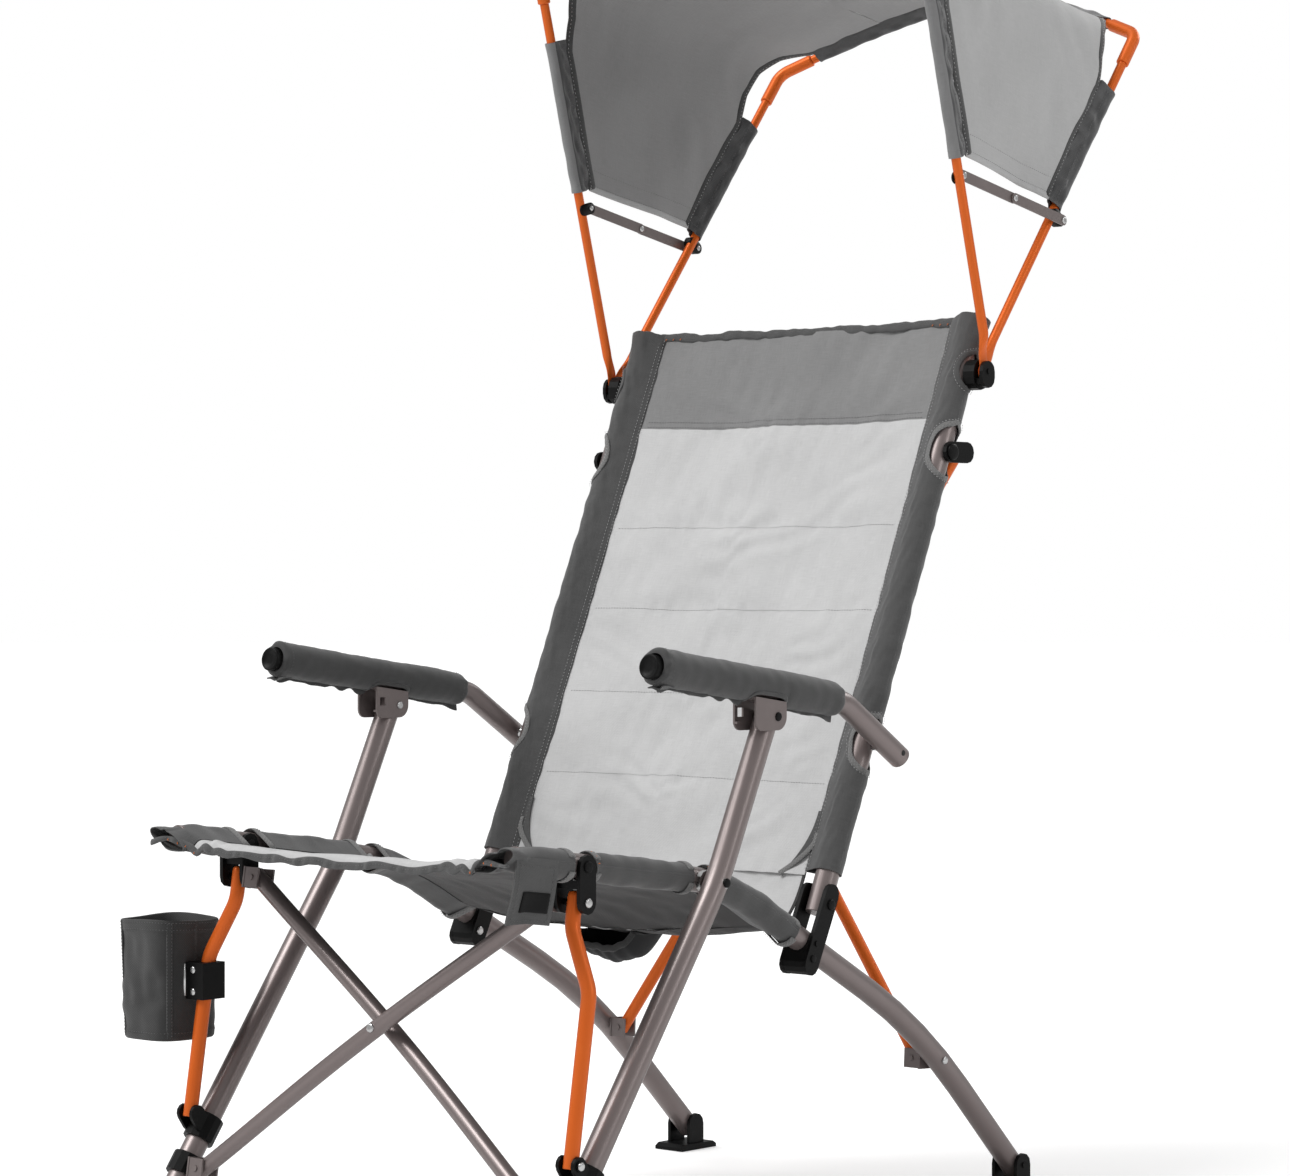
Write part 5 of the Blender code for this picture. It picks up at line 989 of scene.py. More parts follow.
def armCloth(name, s, body, front, heading, span):
    # The cover: a cloth sleeve, folded in at the mouth, cut out over the bracket and drawn in at the rear.
    middleY = side["armPivot"][0] + (arm["openRear"] - arm["openFront"]) / 2
    middle = (middleY - front[1]) / heading[1]
    half = (arm["openFront"] + arm["openRear"]) / 2 / heading[1] + 0.002
    stations = spaced(arm["start"], span - arm["stopBack"], 0.0036, ((middle, half, 1),))
    first, last = stations[0], stations[-1]
    ends = np.array([0, 0.0004, 0.0012, 0.0026, 0.0050])
    stations = np.unique(np.concatenate([stations, first + ends, last - ends]).round(6))
    near, far = stations - first, last - stations
    shut = np.sqrt(1 - (1 - np.clip(near / arm["roundFront"], 0, 1)) ** 2)
    drawn = 1 - np.sqrt(1 - (1 - np.clip(far / arm["roundRear"], 0, 1)) ** 2.4)
    radius = arm["mouth"] + (arm["cover"] - arm["mouth"]) * shut - (arm["cover"] - arm["rear"]) * drawn
    path = front + heading * stations[:, None] + (0, 0, arm["lift"])
    path[:, 2] -= arm["lift"] * np.clip(1 - far / 0.020, 0, 1)

    def puckers(along, around, seed=40 + (s > 0)):
        # The gathers at both ends of the cover, and its folds.
        turn = np.arctan2(around[1], around[0])
        high, width = armFolds["mouth"]
        gather = high * np.exp(-(along / width) ** 2) * np.clip(along / 0.0010, 0, 1)
        gather = gather * np.sin(turn * 6 + 2.2 * np.sin(turn * 2 + seed))
        high, width = armFolds["rear"]
        rear = high * np.exp(-((along - along.max()) / width) ** 2) * np.sin(turn * 5 + 1.7 * np.sin(turn * 3))
        high, length = armFolds["long"]
        folded = high * ripples(along, np.sin(turn) * 0.02, length, seed)
        high, length = armFolds["short"]
        return gather + rear + folded + high * ripples(along, np.cos(turn) * 0.02, length, seed + 9)

    cover, edge, outer = sock("armCover_" + name, path, np.array([0, 0, -1.0]), radius, arm["cloth"], coverCloth,
                              body, opened=squareGap(stations, middle, half, arm["openHalf"]), bumps=puckers,
                              columns=64, replaces=["armrest_cover_" + name], slot="dark_fabric")
    for outline, out in holes(edge):
        band("armCut_" + name, outline + out * 0.0002, out, 0.0024, 0.0010, coverCloth, body, slot="dark_fabric")
    for at in (first + arm["rows"][0], last - arm["rows"][1]):
        row = int(np.argmin(np.abs(stations - at)))
        out = unit(outer[row] - path[row])
        stitches("armStitches_" + name, body, greyThread, "dark_fabric", outer[row] + out * 0.0001, out, "plain")
    # The seam under the cover stands out as a thin flange, before the opening and behind it.
    flange = ((first + 0.004, middle - half - 0.002), (middle + half + 0.002, last - 0.006))
    for k, (a0, a1) in enumerate(flange):
        t, drop = np.linspace(a0, a1, 40), np.linspace(0, 1, 5)
        deep, wavy, length = armFolds["seam"]
        more, width = armFolds["seamEnds"][k]
        low = deep + wavy * ripples(t, 0 * t, length, 3 + k) + more * np.exp(-((t - (a0, a1)[k]) / width) ** 2)
        down = arm["cover"] - 0.0012 + low[:, None, None] * drop[None, :, None]
        grid = front + heading * t[:, None, None] + (0, 0, arm["lift"]) - np.array([0, 0, 1.0]) * down
        grid[..., 0] += s * 0.0012 * np.sin(t * 240)[:, None] * drop[None]
        shell(f"armSeam_{name}_{k}", grid, 0.0018, coverCloth, body, slot="dark_fabric")
    # A loose folded flap at the mouth.
    u, v = np.meshgrid(np.linspace(0, 1, 16), np.linspace(-1, 1, 14), indexing="ij")
    flap = front + heading * (first - 0.0010 + armFolds["flap"] * u[..., None]) + (0, 0, arm["lift"])
    bent = arm["cover"] + 0.0008 + 0.0036 * (1 - u) ** 2 + 0.0010 * np.sin(v * 4 + u * 3)
    flap = flap + np.stack([bent * np.sin(v * 0.42 + 0.10 * s), 0 * v, -bent * np.cos(v * 0.42)], -1)
    shell("armFlap_" + name, flap, 0.0013, coverCloth, body, slot="dark_fabric")


for name, s in halves():
    armCloth(name, s, "armrest_" + name, *armRod(name, s, "armrest_" + name))

# Bolt heads and rivets, each on the body that carries its pin.
link = {"plate": 0.0053, "front": (-0.330, 0.4371), "rear": (0.0805, 0.3705), "rearLow": (0.0480, 0.3120),
        "clevis": 0.0059}
railOut = side["rail"] + side["tube"]
linkOut, linkIn = railOut + link["plate"], side["rail"] - side["tube"] - link["plate"]
legOut, clevisOut = side["leg"] + side["tube"], side["leg"] + strut["radius"] + link["clevis"]
# For each head: its body, whether it is steel, how far out, its place, which way it faces, its radius and height.
heads = (("seat_rail_", False, linkOut, link["front"], 1, 0.0064, 0.0026),
         ("seat_rail_", False, linkIn, link["front"], -1, 0.0060, 0.0024),
         ("seat_rail_", True, linkOut, strut["top"], 1, 0.0052, 0.0026),
         ("seat_rail_", True, linkIn, strut["top"], -1, 0.0050, 0.0024),
         ("seat_rail_", False, linkOut, link["rear"], 1, 0.0062, 0.0026),
         ("seat_rail_", False, linkOut, link["rearLow"], 1, 0.0044, 0.0018),
         ("seat_rail_", True, linkIn, link["rearLow"], -1, 0.0052, 0.0024),
         ("seat_rail_", True, railOut, brace["rear"]["low"], 1, 0.0046, 0.0022),
         ("front_leg_", False, legOut, side["pivot"], 1, 0.0052, 0.0026),
         ("slide_collar_", True, clevisOut, strut["low"], 1, 0.0048, 0.0024),
         ("back_post_", False, linkOut, postPoint(post["headBolt"]), 1, 0.0098, 0.0042))
for name, s in halves():
    for kind, steel, out, place, way, radius, high in heads:
        paint, slot = (boltSteel, "bolt_steel") if steel else (blackPlastic, "black_plastic")
        dome(("heads_" if steel else "caps_") + kind + name, kind + name, paint, slot, (s * out, *map(float, place)),
             (s * way, 0, 0), radius, high)
print("struts, braces and arms made")


# Canopy rods

rodSet = {"blade": (0.0014, 0.0078, 0.018, 0.040), "hubX": 0.29225, "gap": 0.00015, "elbow": 0.050, "elbowR": 0.0080,
          "bend": 0.022, "play": 0.0003, "clip": (0.0075, 0.0022),
          "stay": {"front": (0.2256, 0.0126), "rear": (0.2390, 0.0110)}, "rivet": 0.0034,
          "stayOut": {"front": 0.0018, "rear": 0.0039}}
rodX = {"front": bow["frontX"], "rear": bow["rearX"]}
stayX = bow["rearX"] + bow["rod"] + rodSet["clip"][1] + rodSet["play"]


def plate(name, body, material, slot, outline, x0, x1, bevel=0.0003, squash=None):
    # A flat plate between two places across, its edges broken; the outline is a loop of (y, z).
    loop = np.asarray(outline, float)
    middle = loop.mean(0)
    shrink = middle + (loop - middle) * (1 - bevel / np.linalg.norm(loop - middle, axis=1, keepdims=True))
    lo, hi = min(x0, x1), max(x0, x1)
    rings = [(lo, shrink), (lo + bevel, loop), (hi - bevel, loop), (hi, shrink)]
    points = np.concatenate([np.concatenate([np.full((len(p), 1), x), p], 1) for x, p in rings])
    faces = tubeFaces(len(rings), len(loop))
    turnSense = np.sum(loop[:, 0] * np.roll(loop[:, 1], -1) - loop[:, 1] * np.roll(loop[:, 0], -1))
    keep(name, body, material, slot, points, faces if turnSense > 0 else [f[::-1] for f in faces], squash)


def obround(a, b, radius, steps=12):
    # The outline round two places at a distance.
    a, b = np.asarray(a, float), np.asarray(b, float)
    heading = math.atan2(*(b - a)[::-1])
    half = np.linspace(-math.pi / 2, math.pi / 2, steps)
    return np.concatenate([b + radius * np.stack([np.cos(heading + half), np.sin(heading + half)], 1),
                           a - radius * np.stack([np.cos(heading + half), np.sin(heading + half)], 1)])


def archHeading(angle, offset, s):
    # The way the arch leaves its elbow.
    near, far = archPoint(angle, offset, offset), archPoint(angle, offset, offset - rodSet["elbow"])
    return unit(far - near) * (s, 1, 1)


def canopyLeg(name, s, kind):
    # A leg of a bow: a flat blade at the hub, a taper to the round rod, and the elbow at its top.
    angle, offset, body = bow[kind], rodX[kind], f"canopy_{kind}_leg_{name}"
    hub = np.array(postPoint(post["hub"]), float)
    thin, wide, flatEnd, roundStart = rodSet["blade"]
    bladeX = rodSet["hubX"] + (1 if offset > rodSet["hubX"] else -1) * (rodSet["gap"] + thin)
    start = np.array([s * offset, *bowPoint(angle, roundStart)])
    corner = np.array([s * offset, *bowPoint(angle, bow["radius"])])
    leg, up = unit(corner - start), unit(start[1:] - hub)
    t = np.linspace(0.12, 1, 7) * math.pi / 2
    along = np.concatenate([-wide * np.cos(t), [flatEnd * 0.6, flatEnd]])
    blade = np.array([[s * bladeX, *(hub + up * d)] for d in along])
    taper = np.linspace(0, 1, 9)[1:, None]
    ease = taper * taper * (3 - 2 * taper)
    narrowing = blade[-1] + (start - blade[-1]) * taper
    narrowing[:, :1] = s * (bladeX + (offset - bladeX) * ease)
    rod = start + (corner - leg * rodSet["elbow"] - start) * np.array([[0.3], [0.7], [1.0]])
    flat, full = np.array([thin, wide]), np.array([bow["rod"], bow["rod"]])
    halfWide = np.append(wide * np.sin(t), (wide, wide))
    radii = np.concatenate([np.column_stack([np.full(len(along), thin), halfWide]), flat + (full - flat) * ease,
                           [full] * 3])
    pipe(f"canopy{kind.title()}Rod_{name}", np.concatenate([blade, narrowing, rod]), radii, orangePaint, body,
         normal=np.array([1.0, 0, 0]), replaces=[body], slot="orange_tube")
    heading = archHeading(angle, offset, s)
    bent = [corner - leg * rodSet["elbow"], corner, corner + heading * rodSet["elbow"]]
    pipe(f"canopy{kind.title()}Elbow_{name}", filleted(bent, (rodSet["bend"],), math.radians(6)), rodSet["elbowR"],
         orangePaint, body, chamfer=0.0012, slot="orange_tube")
    return corner, heading


def canopyClip(name, s, kind):
    # The black clip that carries a stay, its rivet inside, and the stay's own rivet head outside.
    angle, body = bow[kind], f"canopy_{kind}_leg_{name}"
    at, behind = rodSet["stay"][kind]
    clipHalf, clipThick = rodSet["clip"]
    outer = stayX - rodSet["play"]
    inner = outer - clipThick if kind == "front" else rodX[kind] - bow["rod"] / 2
    y, z = map(float, bowPoint(angle, at, behind))
    outline = obround(bowPoint(angle, at), (y, z), clipHalf)
    plate(f"stayClip_{kind}_{name}", body, blackPlastic, "black_plastic", outline, s * inner, s * outer)
    steelDome(f"stayRivet_{kind}_{name}", body, (s * (inner - 0.0001), y, z), (-s, 0, 0), rodSet["rivet"], 0.0016)
    out = stayX + rodSet["stayOut"][kind]
    steelDome(f"stayHead_{kind}_{name}", f"stay_{kind}_{name}", (s * out, y, z), (s, 0, 0), 0.0042, 0.0020)


for name, s in halves():
    for kind in ("front", "rear"):
        corner, heading = canopyLeg(name, s, kind)
        canopyClip(name, s, kind)
        if name == "left":
            # The arch between both elbows rides the left leg.
            angle, offset = bow[kind], rodX[kind]
            socket = corner + heading * (rodSet["elbow"] + rodSet["play"])
            rod = archPoint(angle, offset, np.linspace(socket[0], -socket[0], 61))
            rod[0], rod[-1] = socket, socket * (-1, 1, 1)
            pipe(f"canopy{kind.title()}Arch", rod, bow["rod"], orangePaint, f"canopy_{kind}_leg_left",
                 replaces=["arch_" + kind], slot="orange_tube", squash=offset)
print("canopy rods made")


# Canopy cloth

canopy = {"low": 0.250, "high": 0.440, "archStart": 0.052, "thick": 0.0012, "lift": -0.0005, "sag": 0.008,
          "hemRow": 0.23, "pleat": 0.0045, "splitRow": 10, "rows": 14, "lap": 0.0020, "hemSeams": (0.028, 0.0030),
          "hemHalf": 0.0042, "tape": {"front": 0.0072, "rear": 0.0055}, "tapeThick": 0.0013, "overlap": 0.0022,
          "sleeve": 0.0079, "sleeveCloth": 0.0010, "flare": (0.0006, 0.12), "sleeveSeam": (0.0120, 0.0064),
          "archTip": 0.0240, "insets": {"front": ((0, 0.0270), (2, 0.0275), (4, 0.0300), (4.7, 0.0460), (5.5, 0.0500),
          (6.3, 0.0400), (7, 0.0170), (7.6, 0.0095), (14, 0.0084)),
          "rear": ((0, 0.0225), (2, 0.0285), (4, 0.0265), (4.7, 0.0440), (5.5, 0.0500), (6.3, 0.0400), (7, 0.0170),
          (7.6, 0.0095), (14, 0.0084))}}


def bowRow(kind, s, r):
    # A place on a bow for a row number: 0 to 4 up the leg, 4 to 7 round the elbow, 7 to 14 along the arch to the
    # middle.
    angle, offset = bow[kind], rodX[kind]
    r = np.asarray(r, float)
    radius = canopy["low"] + (canopy["high"] - canopy["low"]) * np.clip(r, 0, 4) / 4
    y, z = bowPoint(angle, radius)
    leg = np.stack([np.full_like(y, offset), y, z], -1)
    start = offset - canopy["archStart"]
    arch = archPoint(angle, offset, start * (1 - (np.clip(r, 7, 14) - 7) / 7))
    low, high = np.array([offset, *bowPoint(angle, canopy["high"])]), archPoint(angle, offset, start)
    corner = np.array([offset, *bowPoint(angle, bow["radius"] + 0.004)])
    t = np.clip((r - 4) / 3, 0, 1)[..., None]
    elbow = (low * (1 - t) ** 3 + (low + (corner - low) * 0.72) * 3 * t * (1 - t) ** 2
             + (high + (corner - high) * 0.72) * 3 * t ** 2 * (1 - t) + high * t ** 3)
    place = np.where(r[..., None] <= 4, leg, np.where(r[..., None] >= 7, arch, elbow))
    return place * (s, 1, 1)


def tableAt(table, r):
    # A table of pairs read with straight lines between its entries.
    at, value = np.array(table).T
    k = np.clip(np.searchsorted(at, r, side="right") - 1, 0, len(at) - 2)
    t = np.clip((r - at[k]) / (at[k + 1] - at[k]), 0, 1)
    return value[k] + (value[k + 1] - value[k]) * t


def canopyGrid(s, rows, columns, extra=0.0, seed=60):
    # From the front edge to the rear edge, drawn in between its rods, with soft folds off the seams.
    a, b = bowRow("front", s, rows), bowRow("rear", s, rows)
    span = np.linalg.norm(b - a, axis=1)
    insetA = (tableAt(canopy["insets"]["front"], rows) - extra) / span
    insetB = (tableAt(canopy["insets"]["rear"], rows) - extra) / span
    share = insetA[:, None] + (1 - insetA - insetB)[:, None] * columns[None]
    place = a[:, None] + (b - a)[:, None] * share[..., None]
    hub = np.array([0, *postPoint(post["hub"])])
    inward = unit((hub - place) * (0, 1, 1))
    fold = canopy["lift"] + (canopy["sag"] - canopy["lift"]) * np.clip(rows / 5, 0, 1)
    # The cloth is pulled towards the middle plane on the sides and downwards over the arches.
    lean = (np.clip((rows - 4) / 5, 0, 1))[:, None, None]
    bowIn = np.sin(math.pi * columns)[None, :, None]
    u = lengths(place[:, len(columns) // 2])[:, None]
    v = (columns[None] - 0.5) * span[:, None]
    edge = np.sin(math.pi * np.clip(columns, 0, 1))[None] ** 0.5
    wrinkle = sum(high * ripples(u, v, length, seed + k, along=along) for k,
                  (high, length, along) in enumerate(canopyFolds["panel"]))
    high, length, middle, width = canopyFolds["pull"]
    pull = high * np.exp(-((u - middle) / width) ** 2) * np.sin((v + u * 0.5) * 2 * math.pi / length)
    pull = pull * np.exp(-((np.abs(columns[None] - 0.5) - 0.5) / 0.25) ** 2)
    relief = ((wrinkle + pull) * edge)[..., None]
    return (place + fold[:, None, None] * bowIn * inward + relief
            * (np.array([-s, 0, 0.0]) * (1 - lean) + inward * lean))


def piping(name, path, out, half, thick, body, material=edgeTape, **more):
    # A folded tape along a sheet's edge.
    band(name, path, out, half, thick, material, body, closed=False, slot="canopy_fabric", **more)


def pleated(sleeve, rod, toward, tip, seed, twoTone):
    # Wedge folds in the flat part of a gusset: they start at the rod, deepen half way out and end at the seam.
    axis, out = unit(rod[-1] - rod[0]), unit(toward)
    at = (rod - rod[0]) @ axis
    across = unit(np.cross(axis, out))

    def placed(points):
        # For each point: how far along the rod, how far out from it, and which of the rod's rows is nearest.
        along = (points - home - rod[0]) @ axis
        row = np.clip(np.searchsorted(at, along), 0, len(at) - 1)
        return along, ((points - home - rod[row]) * out[row]).sum(1), row

    flat = np.empty(len(sleeve.data.vertices) * 3, np.float32)
    sleeve.data.vertices.foreach_get("co", flat)
    points = flat.reshape(-1, 3)
    along, far, row = placed(points)
    share = np.clip((far - 0.0070) / (tip[row] - 0.0070), 0, 1)
    phase = along / 0.052 + 0.5 * share + 0.35 * np.sin(along * 47 + seed) + seed
    wedge = np.abs((phase % 1) * 2 - 1) ** 1.4 - 0.4
    points += across[row] * (canopy["pleat"] * wedge * np.sin(math.pi * share ** 0.65) * (1 - share ** 3))[:, None]
    sleeve.data.vertices.foreach_set("co", flat)
    sleeve.data.update()
    if twoTone:
        sleeve.data.materials.append(pleatCloth)
        centres = np.empty(len(sleeve.data.polygons) * 3, np.float32)
        sleeve.data.polygons.foreach_get("center", centres)
        marks = (placed(centres.reshape(-1, 3))[1] > -0.0010).astype(np.int32)
        sleeve.data.polygons.foreach_set("material_index", marks)


# Folds of the cloth and of the rods' sleeves: height and wave length.
canopyFolds = {"panel": ((0.0020, 0.20, 1.0), (0.0007, 0.055, 0.4)), "pull": (0.0022, 0.062, 0.19, 0.09),
               "gusset": (0.0007, 0.034), "gussetPull": (0.0016, 0.043), "arch": (0.0006, 0.030),
               "archPull": (0.0009, 0.052)}
sideRows = np.unique(np.concatenate([np.linspace(canopy["hemRow"], 4, 34), np.linspace(4, 7, 30),
                     np.linspace(7, canopy["splitRow"], 22)]))
across = np.linspace(0, 1, 70)
rowStep = (canopy["high"] - canopy["low"]) / 4


def canopyEdge(grid, kind):
    # The edge of a grid at one bow, and the way from it into the cloth.
    column, inner = (0, 3) if kind == "front" else (-1, -4)
    return grid[:, column], unit(grid[:, inner] - grid[:, column])


def canopyTape(name, grid, kind, body, **more):
    # The piping along an edge, laid over the cloth.
    edge, inwards = canopyEdge(grid, kind)
    half = canopy["tape"][kind]
    piping(name, edge + inwards * (half - canopy["overlap"]), -inwards, canopy["tapeThick"], half, body, **more)


def canopyPanel(name, s):
    # One side of the canopy, listed on the front leg with the rear leg as its second body.
    front, rear = "canopy_front_leg_" + name, "canopy_rear_leg_" + name
    start, end = bowRow("front", s, np.array([0.0]))[0], bowRow("rear", s, np.array([0.0]))[0]
    crossing = (rear, start, end)
    grid = canopyGrid(s, sideRows, across, extra=canopy["lap"])
    # The inner face is painted darker, as shade.
    shell("canopySide_" + name, grid if s > 0 else grid[:, ::-1], canopy["thick"], canopyCloth, front,
          under=canopyInside, replaces=["canopy_side_" + name], slot="canopy_fabric", blend=crossing)
    normal = sheetNormals(grid)
    low = grid[0] + np.array([0, 0, 0.0005])
    piping("canopyHem_" + name, low, np.cross(np.gradient(low, axis=0), normal[0]), 0.0012, canopy["hemHalf"], front,
           blend=crossing, material=canopyCloth)
    for height in canopy["hemSeams"]:
        k = int(np.argmin(np.abs(sideRows - canopy["hemRow"] - height / rowStep)))
        for way in (1, -1):
            line = grid[k] + normal[k] * canopy["thick"] * 0.55 * way
            stitches("canopySeams_" + name, front, greyThread, "canopy_fabric", line, normal[k] * way, "hem",
                     blend=crossing)
    for kind, column in (("front", 0), ("rear", -1)):
        canopyTape(f"canopyPiping_{kind}_{name}", grid, kind, front, blend=crossing)
        edge, inwards = canopyEdge(grid, kind)
        for way in (1, -1):
            facing = normal[:, column] * way
            line = edge + inwards * canopy["overlap"] + facing * canopy["tapeThick"]
            stitches("canopyPipingThread_" + name, front, whiteThread, "canopy_fabric", line, facing, "piping",
                     blend=crossing)
    return grid


def gusset(name, s, kind, edge):
    # Cloth round a rod that runs out to the side panel's edge.
    leg = f"canopy_{kind}_leg_{name}"
    r = np.linspace(-0.02, 4.02, 64)
    low, high = bowRow(kind, s, np.array([0.0])), bowRow(kind, s, np.array([4.0]))
    rod = (bowRow(kind, s, np.clip(r, 0, 4)) + unit(high - low) * (np.clip(r - 4, 0, 1) + np.clip(r, -1, 0))[:, None]
           * rowStep)
    target = np.stack([np.interp(np.clip(r, 0, 4), sideRows, edge[:, k]) for k in range(3)], -1)
    toward = target - rod
    tip = np.linalg.norm(toward, axis=1) + 0.0012
    high, width = canopy["flare"]
    radius = canopy["sleeve"] + high * np.exp(-(r / width) ** 2) + high * np.exp(-((r - 4) / width) ** 2)

    def gathers(along, around, seed=90 + (s > 0) * 3 + (kind == "front")):
        # Folds of a gusset, deeper towards the seam.
        turn = np.arctan2(around[1], around[0])
        towards = np.clip(-around[0], 0, 1)
        high, length = canopyFolds["gusset"]
        soft = high * ripples(along, np.sin(turn) * 0.02, length, seed) * (0.35 + towards)
        high, length = canopyFolds["gussetPull"]
        pull = high * np.sin(along * 2 * math.pi / length + seed + 1.6 * np.sin(along * 61))
        return soft + pull * towards * np.sign(around[1]) * np.abs(around[1]) ** 0.5

    cloth = rodSleeveCloth if kind == "front" else rearGussetCloth
    sleeve, _, outer = sock(f"canopyGusset_{kind}_{name}", rod, -unit(toward), radius, canopy["sleeveCloth"], cloth,
                            leg, tip=tip, bumps=gathers, slot="canopy_fabric")
    pleated(sleeve, rod, toward, tip, 13 * (s > 0) + 5 * (kind == "front"), kind == "front")
    label = f"gussetThread_{kind}_{name}"
    for row in (3, -4):
        ring = outer[row][6:-6]
        out = unit(ring - rod[row])
        stitches(label, leg, greyThread, "canopy_fabric", ring + out * 0.0001, out, "round")
    ahead, sideOut = canopy["sleeveSeam"]
    beside = unit(np.cross(np.gradient(rod, axis=0), toward))
    for way in (1, -1):
        line = rod + unit(toward) * ahead + beside * way * sideOut
        stitches(label, leg, greyThread, "canopy_fabric", line, beside * way, "gusset")


for name, s in halves():
    grid = canopyPanel(name, s)
    for kind in ("front", "rear"):
        gusset(name, s, kind, canopyEdge(grid, kind)[0])

# The middle: two sheets that share an edge half way back, a tape over it, and sleeves on the arches.
half = np.linspace(canopy["splitRow"], canopy["rows"], 40)
leftPart, rightPart = (canopyGrid(s, half, across, canopy["lap"]) for s in (1, -1))
leftPart[-1] = (leftPart[-1] + rightPart[-1]) / 2
whole = np.concatenate([leftPart, rightPart[::-1][1:]])
cut = len(across) // 2
for kind, other, columns in (("front", "rear", slice(0, cut + 1)), ("rear", "front", slice(cut, None))):
    body, reach = f"canopy_{kind}_leg_left", rodX[kind]
    # The inner face is painted darker, as shade.
    shell("canopyTop" + kind.title(), whole[:, columns], canopy["thick"], canopyCloth, body, under=canopyInside,
          replaces=["canopy_middle"], slot="canopy_fabric", squash=reach)
    canopyTape("canopyTopPiping_" + kind, whole, kind, body, squash=reach)
    end = reach - canopy["archStart"] - 0.002
    x = np.linspace(end, -end, 150)
    rod = archPoint(bow[kind], reach, x)
    toward = unit(archPoint(bow[other], rodX[other], x * rodX[other] / reach) - rod)

    def rolls(along, around, seed=120 + (kind == "front")):
        # Folds of an arch sleeve, deeper in its flat part.
        turn = np.arctan2(around[1], around[0])
        high, length = canopyFolds["arch"]
        soft = high * ripples(along, np.sin(turn) * 0.02, length, seed)
        high, length = canopyFolds["archPull"]
        pull = high * np.sin(along * 2 * math.pi / length + 1.6 * np.sin(along * 40))
        return soft + pull * np.clip(-around[0], 0, 1) * np.sign(around[1])

    sock("archSleeve_" + kind, rod, -toward, canopy["sleeve"], canopy["sleeveCloth"], rearGussetCloth, body,
         tip=np.full(len(x), canopy["archTip"]), bumps=rolls, slot="canopy_fabric", squash=reach)
# The tape over the top seam takes the canopy's painted-shade inner grey.
band("canopyTopTape", whole[:, cut], sheetNormals(whole)[:, cut], 0.0060, 0.0011, canopyInside,
     "canopy_front_leg_left", closed=False, slot="canopy_fabric", squash=rodX["front"])
print("canopy cloth made")
for name, s in halves():
    # The stays' middle rivet, half way between their pins.
    a = np.array(bowPoint(bow["front"], *rodSet["stay"]["front"]))
    b = np.array(bowPoint(bow["rear"], *rodSet["stay"]["rear"]))
    for way, x in ((1, stayX + rodSet["stayOut"]["rear"]), (-1, stayX)):
        steelDome("stayMiddle_" + name, "stay_front_" + name, (s * x, *((a + b) / 2)), (s * way, 0, 0), 0.0040,
                  0.0018)


# Seat

seat = {"front": -0.436, "turn": 0.006, "sag": 0.022, "edgeShare": 0.35, "low": 0.405, "half": 0.2225,
        "cloth": 0.0014, "sleeve": 0.0162, "hemDrop": 0.0105, "ends": np.array([0.0006, 0.0015, 0.0027]),
        "flat": 0.052, "bound": 0.0030, "runs": ((-0.4465, -0.3470), (-0.3130, -0.1550), (-0.1210, 0.0260)),
        "pouch": (0.002, 0.094, 0.050, 0.036)}
railPath = filleted(planar(0, (stretched(tube["rail"][1], tube["rail"][0], 0.03), *tube["rail"][1:3],
                    tube["rail"][3])), tube["railBends"])


def railHeight(y):
    # The height of the rail's axis, read from the side.
    return np.interp(y, railPath[:, 1], railPath[:, 2])


def seatLine(t):
    # The seat's unsagged line: 0 to 1 along the rails, 1 to 2 up to the back; with the sag's direction and depth.
    t = np.asarray(t, float)
    share = np.clip(t, 0, 1)
    y = seat["front"] + (seat["turn"] - seat["front"]) * share
    flat = np.stack([y, railHeight(np.maximum(y, tube["rail"][0][0]))], -1)
    depth = seat["sag"] * (seat["edgeShare"] + (1 - seat["edgeShare"]) * np.sin(math.pi / 2 * share))
    start = np.array([seat["turn"], railHeight(seat["turn"])])
    end = np.array(postPoint(seat["low"])) - np.array([post["lean"], 1]) * 0.0006
    knee, hip = np.array(tube["rail"][1]), np.array(tube["rail"][2])
    slope = (hip[1] - knee[1]) / (hip[0] - knee[0])
    rise = (end[1] - start[1] - slope * (end[0] - start[0])) / (1 - slope * post["lean"])
    middle = end - np.array([post["lean"], 1]) * rise
    k = np.clip(t - 1, 0, 1)[..., None]
    a, b = start + (middle - start) * k, middle + (end - middle) * k
    curve = a + (b - a) * k
    tangent = unit(a - b + 1e-9)
    down = np.where(t[..., None] > 1, np.stack([-tangent[..., 1], tangent[..., 0]], -1), np.array([0, -1.0]))
    depth = np.where(t > 1, seat["sag"] + (back["sag"] * back["lowShare"] - seat["sag"]) * k[..., 0], depth)
    return np.where(t[..., None] > 1, curve, flat), down, depth


def seatPoint(x, t, lift=0.0):
    # A place on the seat sheet: across, along its line, and lifted off it.
    place, down, depth = seatLine(t)
    sag = depth * (1 - (x / side["rail"]) ** 2) - lift
    yz = place + down * sag[..., None]
    drop = seat["hemDrop"] * np.exp(-((t * (seat["turn"] - seat["front"])) / 0.0095) ** 2)
    return np.stack(np.broadcast_arrays(x, yz[..., 0], yz[..., 1] - drop), -1)


def seatRelief(x, t):
    # Shallow folds that run across the seat, and puckers along the front hem.
    edge = 1 - np.clip(np.abs(x) / seat["half"], 0, 1) ** 6
    y = t * 0.442
    front = 0.0016 * np.exp(-(y / 0.020) ** 2) * ripples(x, 0 * x, 0.060, 14)
    corner = (0.0030 * np.exp(-(y / 0.030) ** 2) * np.exp(-((np.abs(x) - 0.205) / 0.030) ** 2)
              * np.sin(np.abs(x) * 2 * math.pi / 0.024))
    return (front + corner + (0.0012 * ripples(x, y, 0.15, 15) + 0.0005 * ripples(x, y, 0.05, 16, along=1.5)) * edge
            * np.clip(y / 0.03, 0, 1))


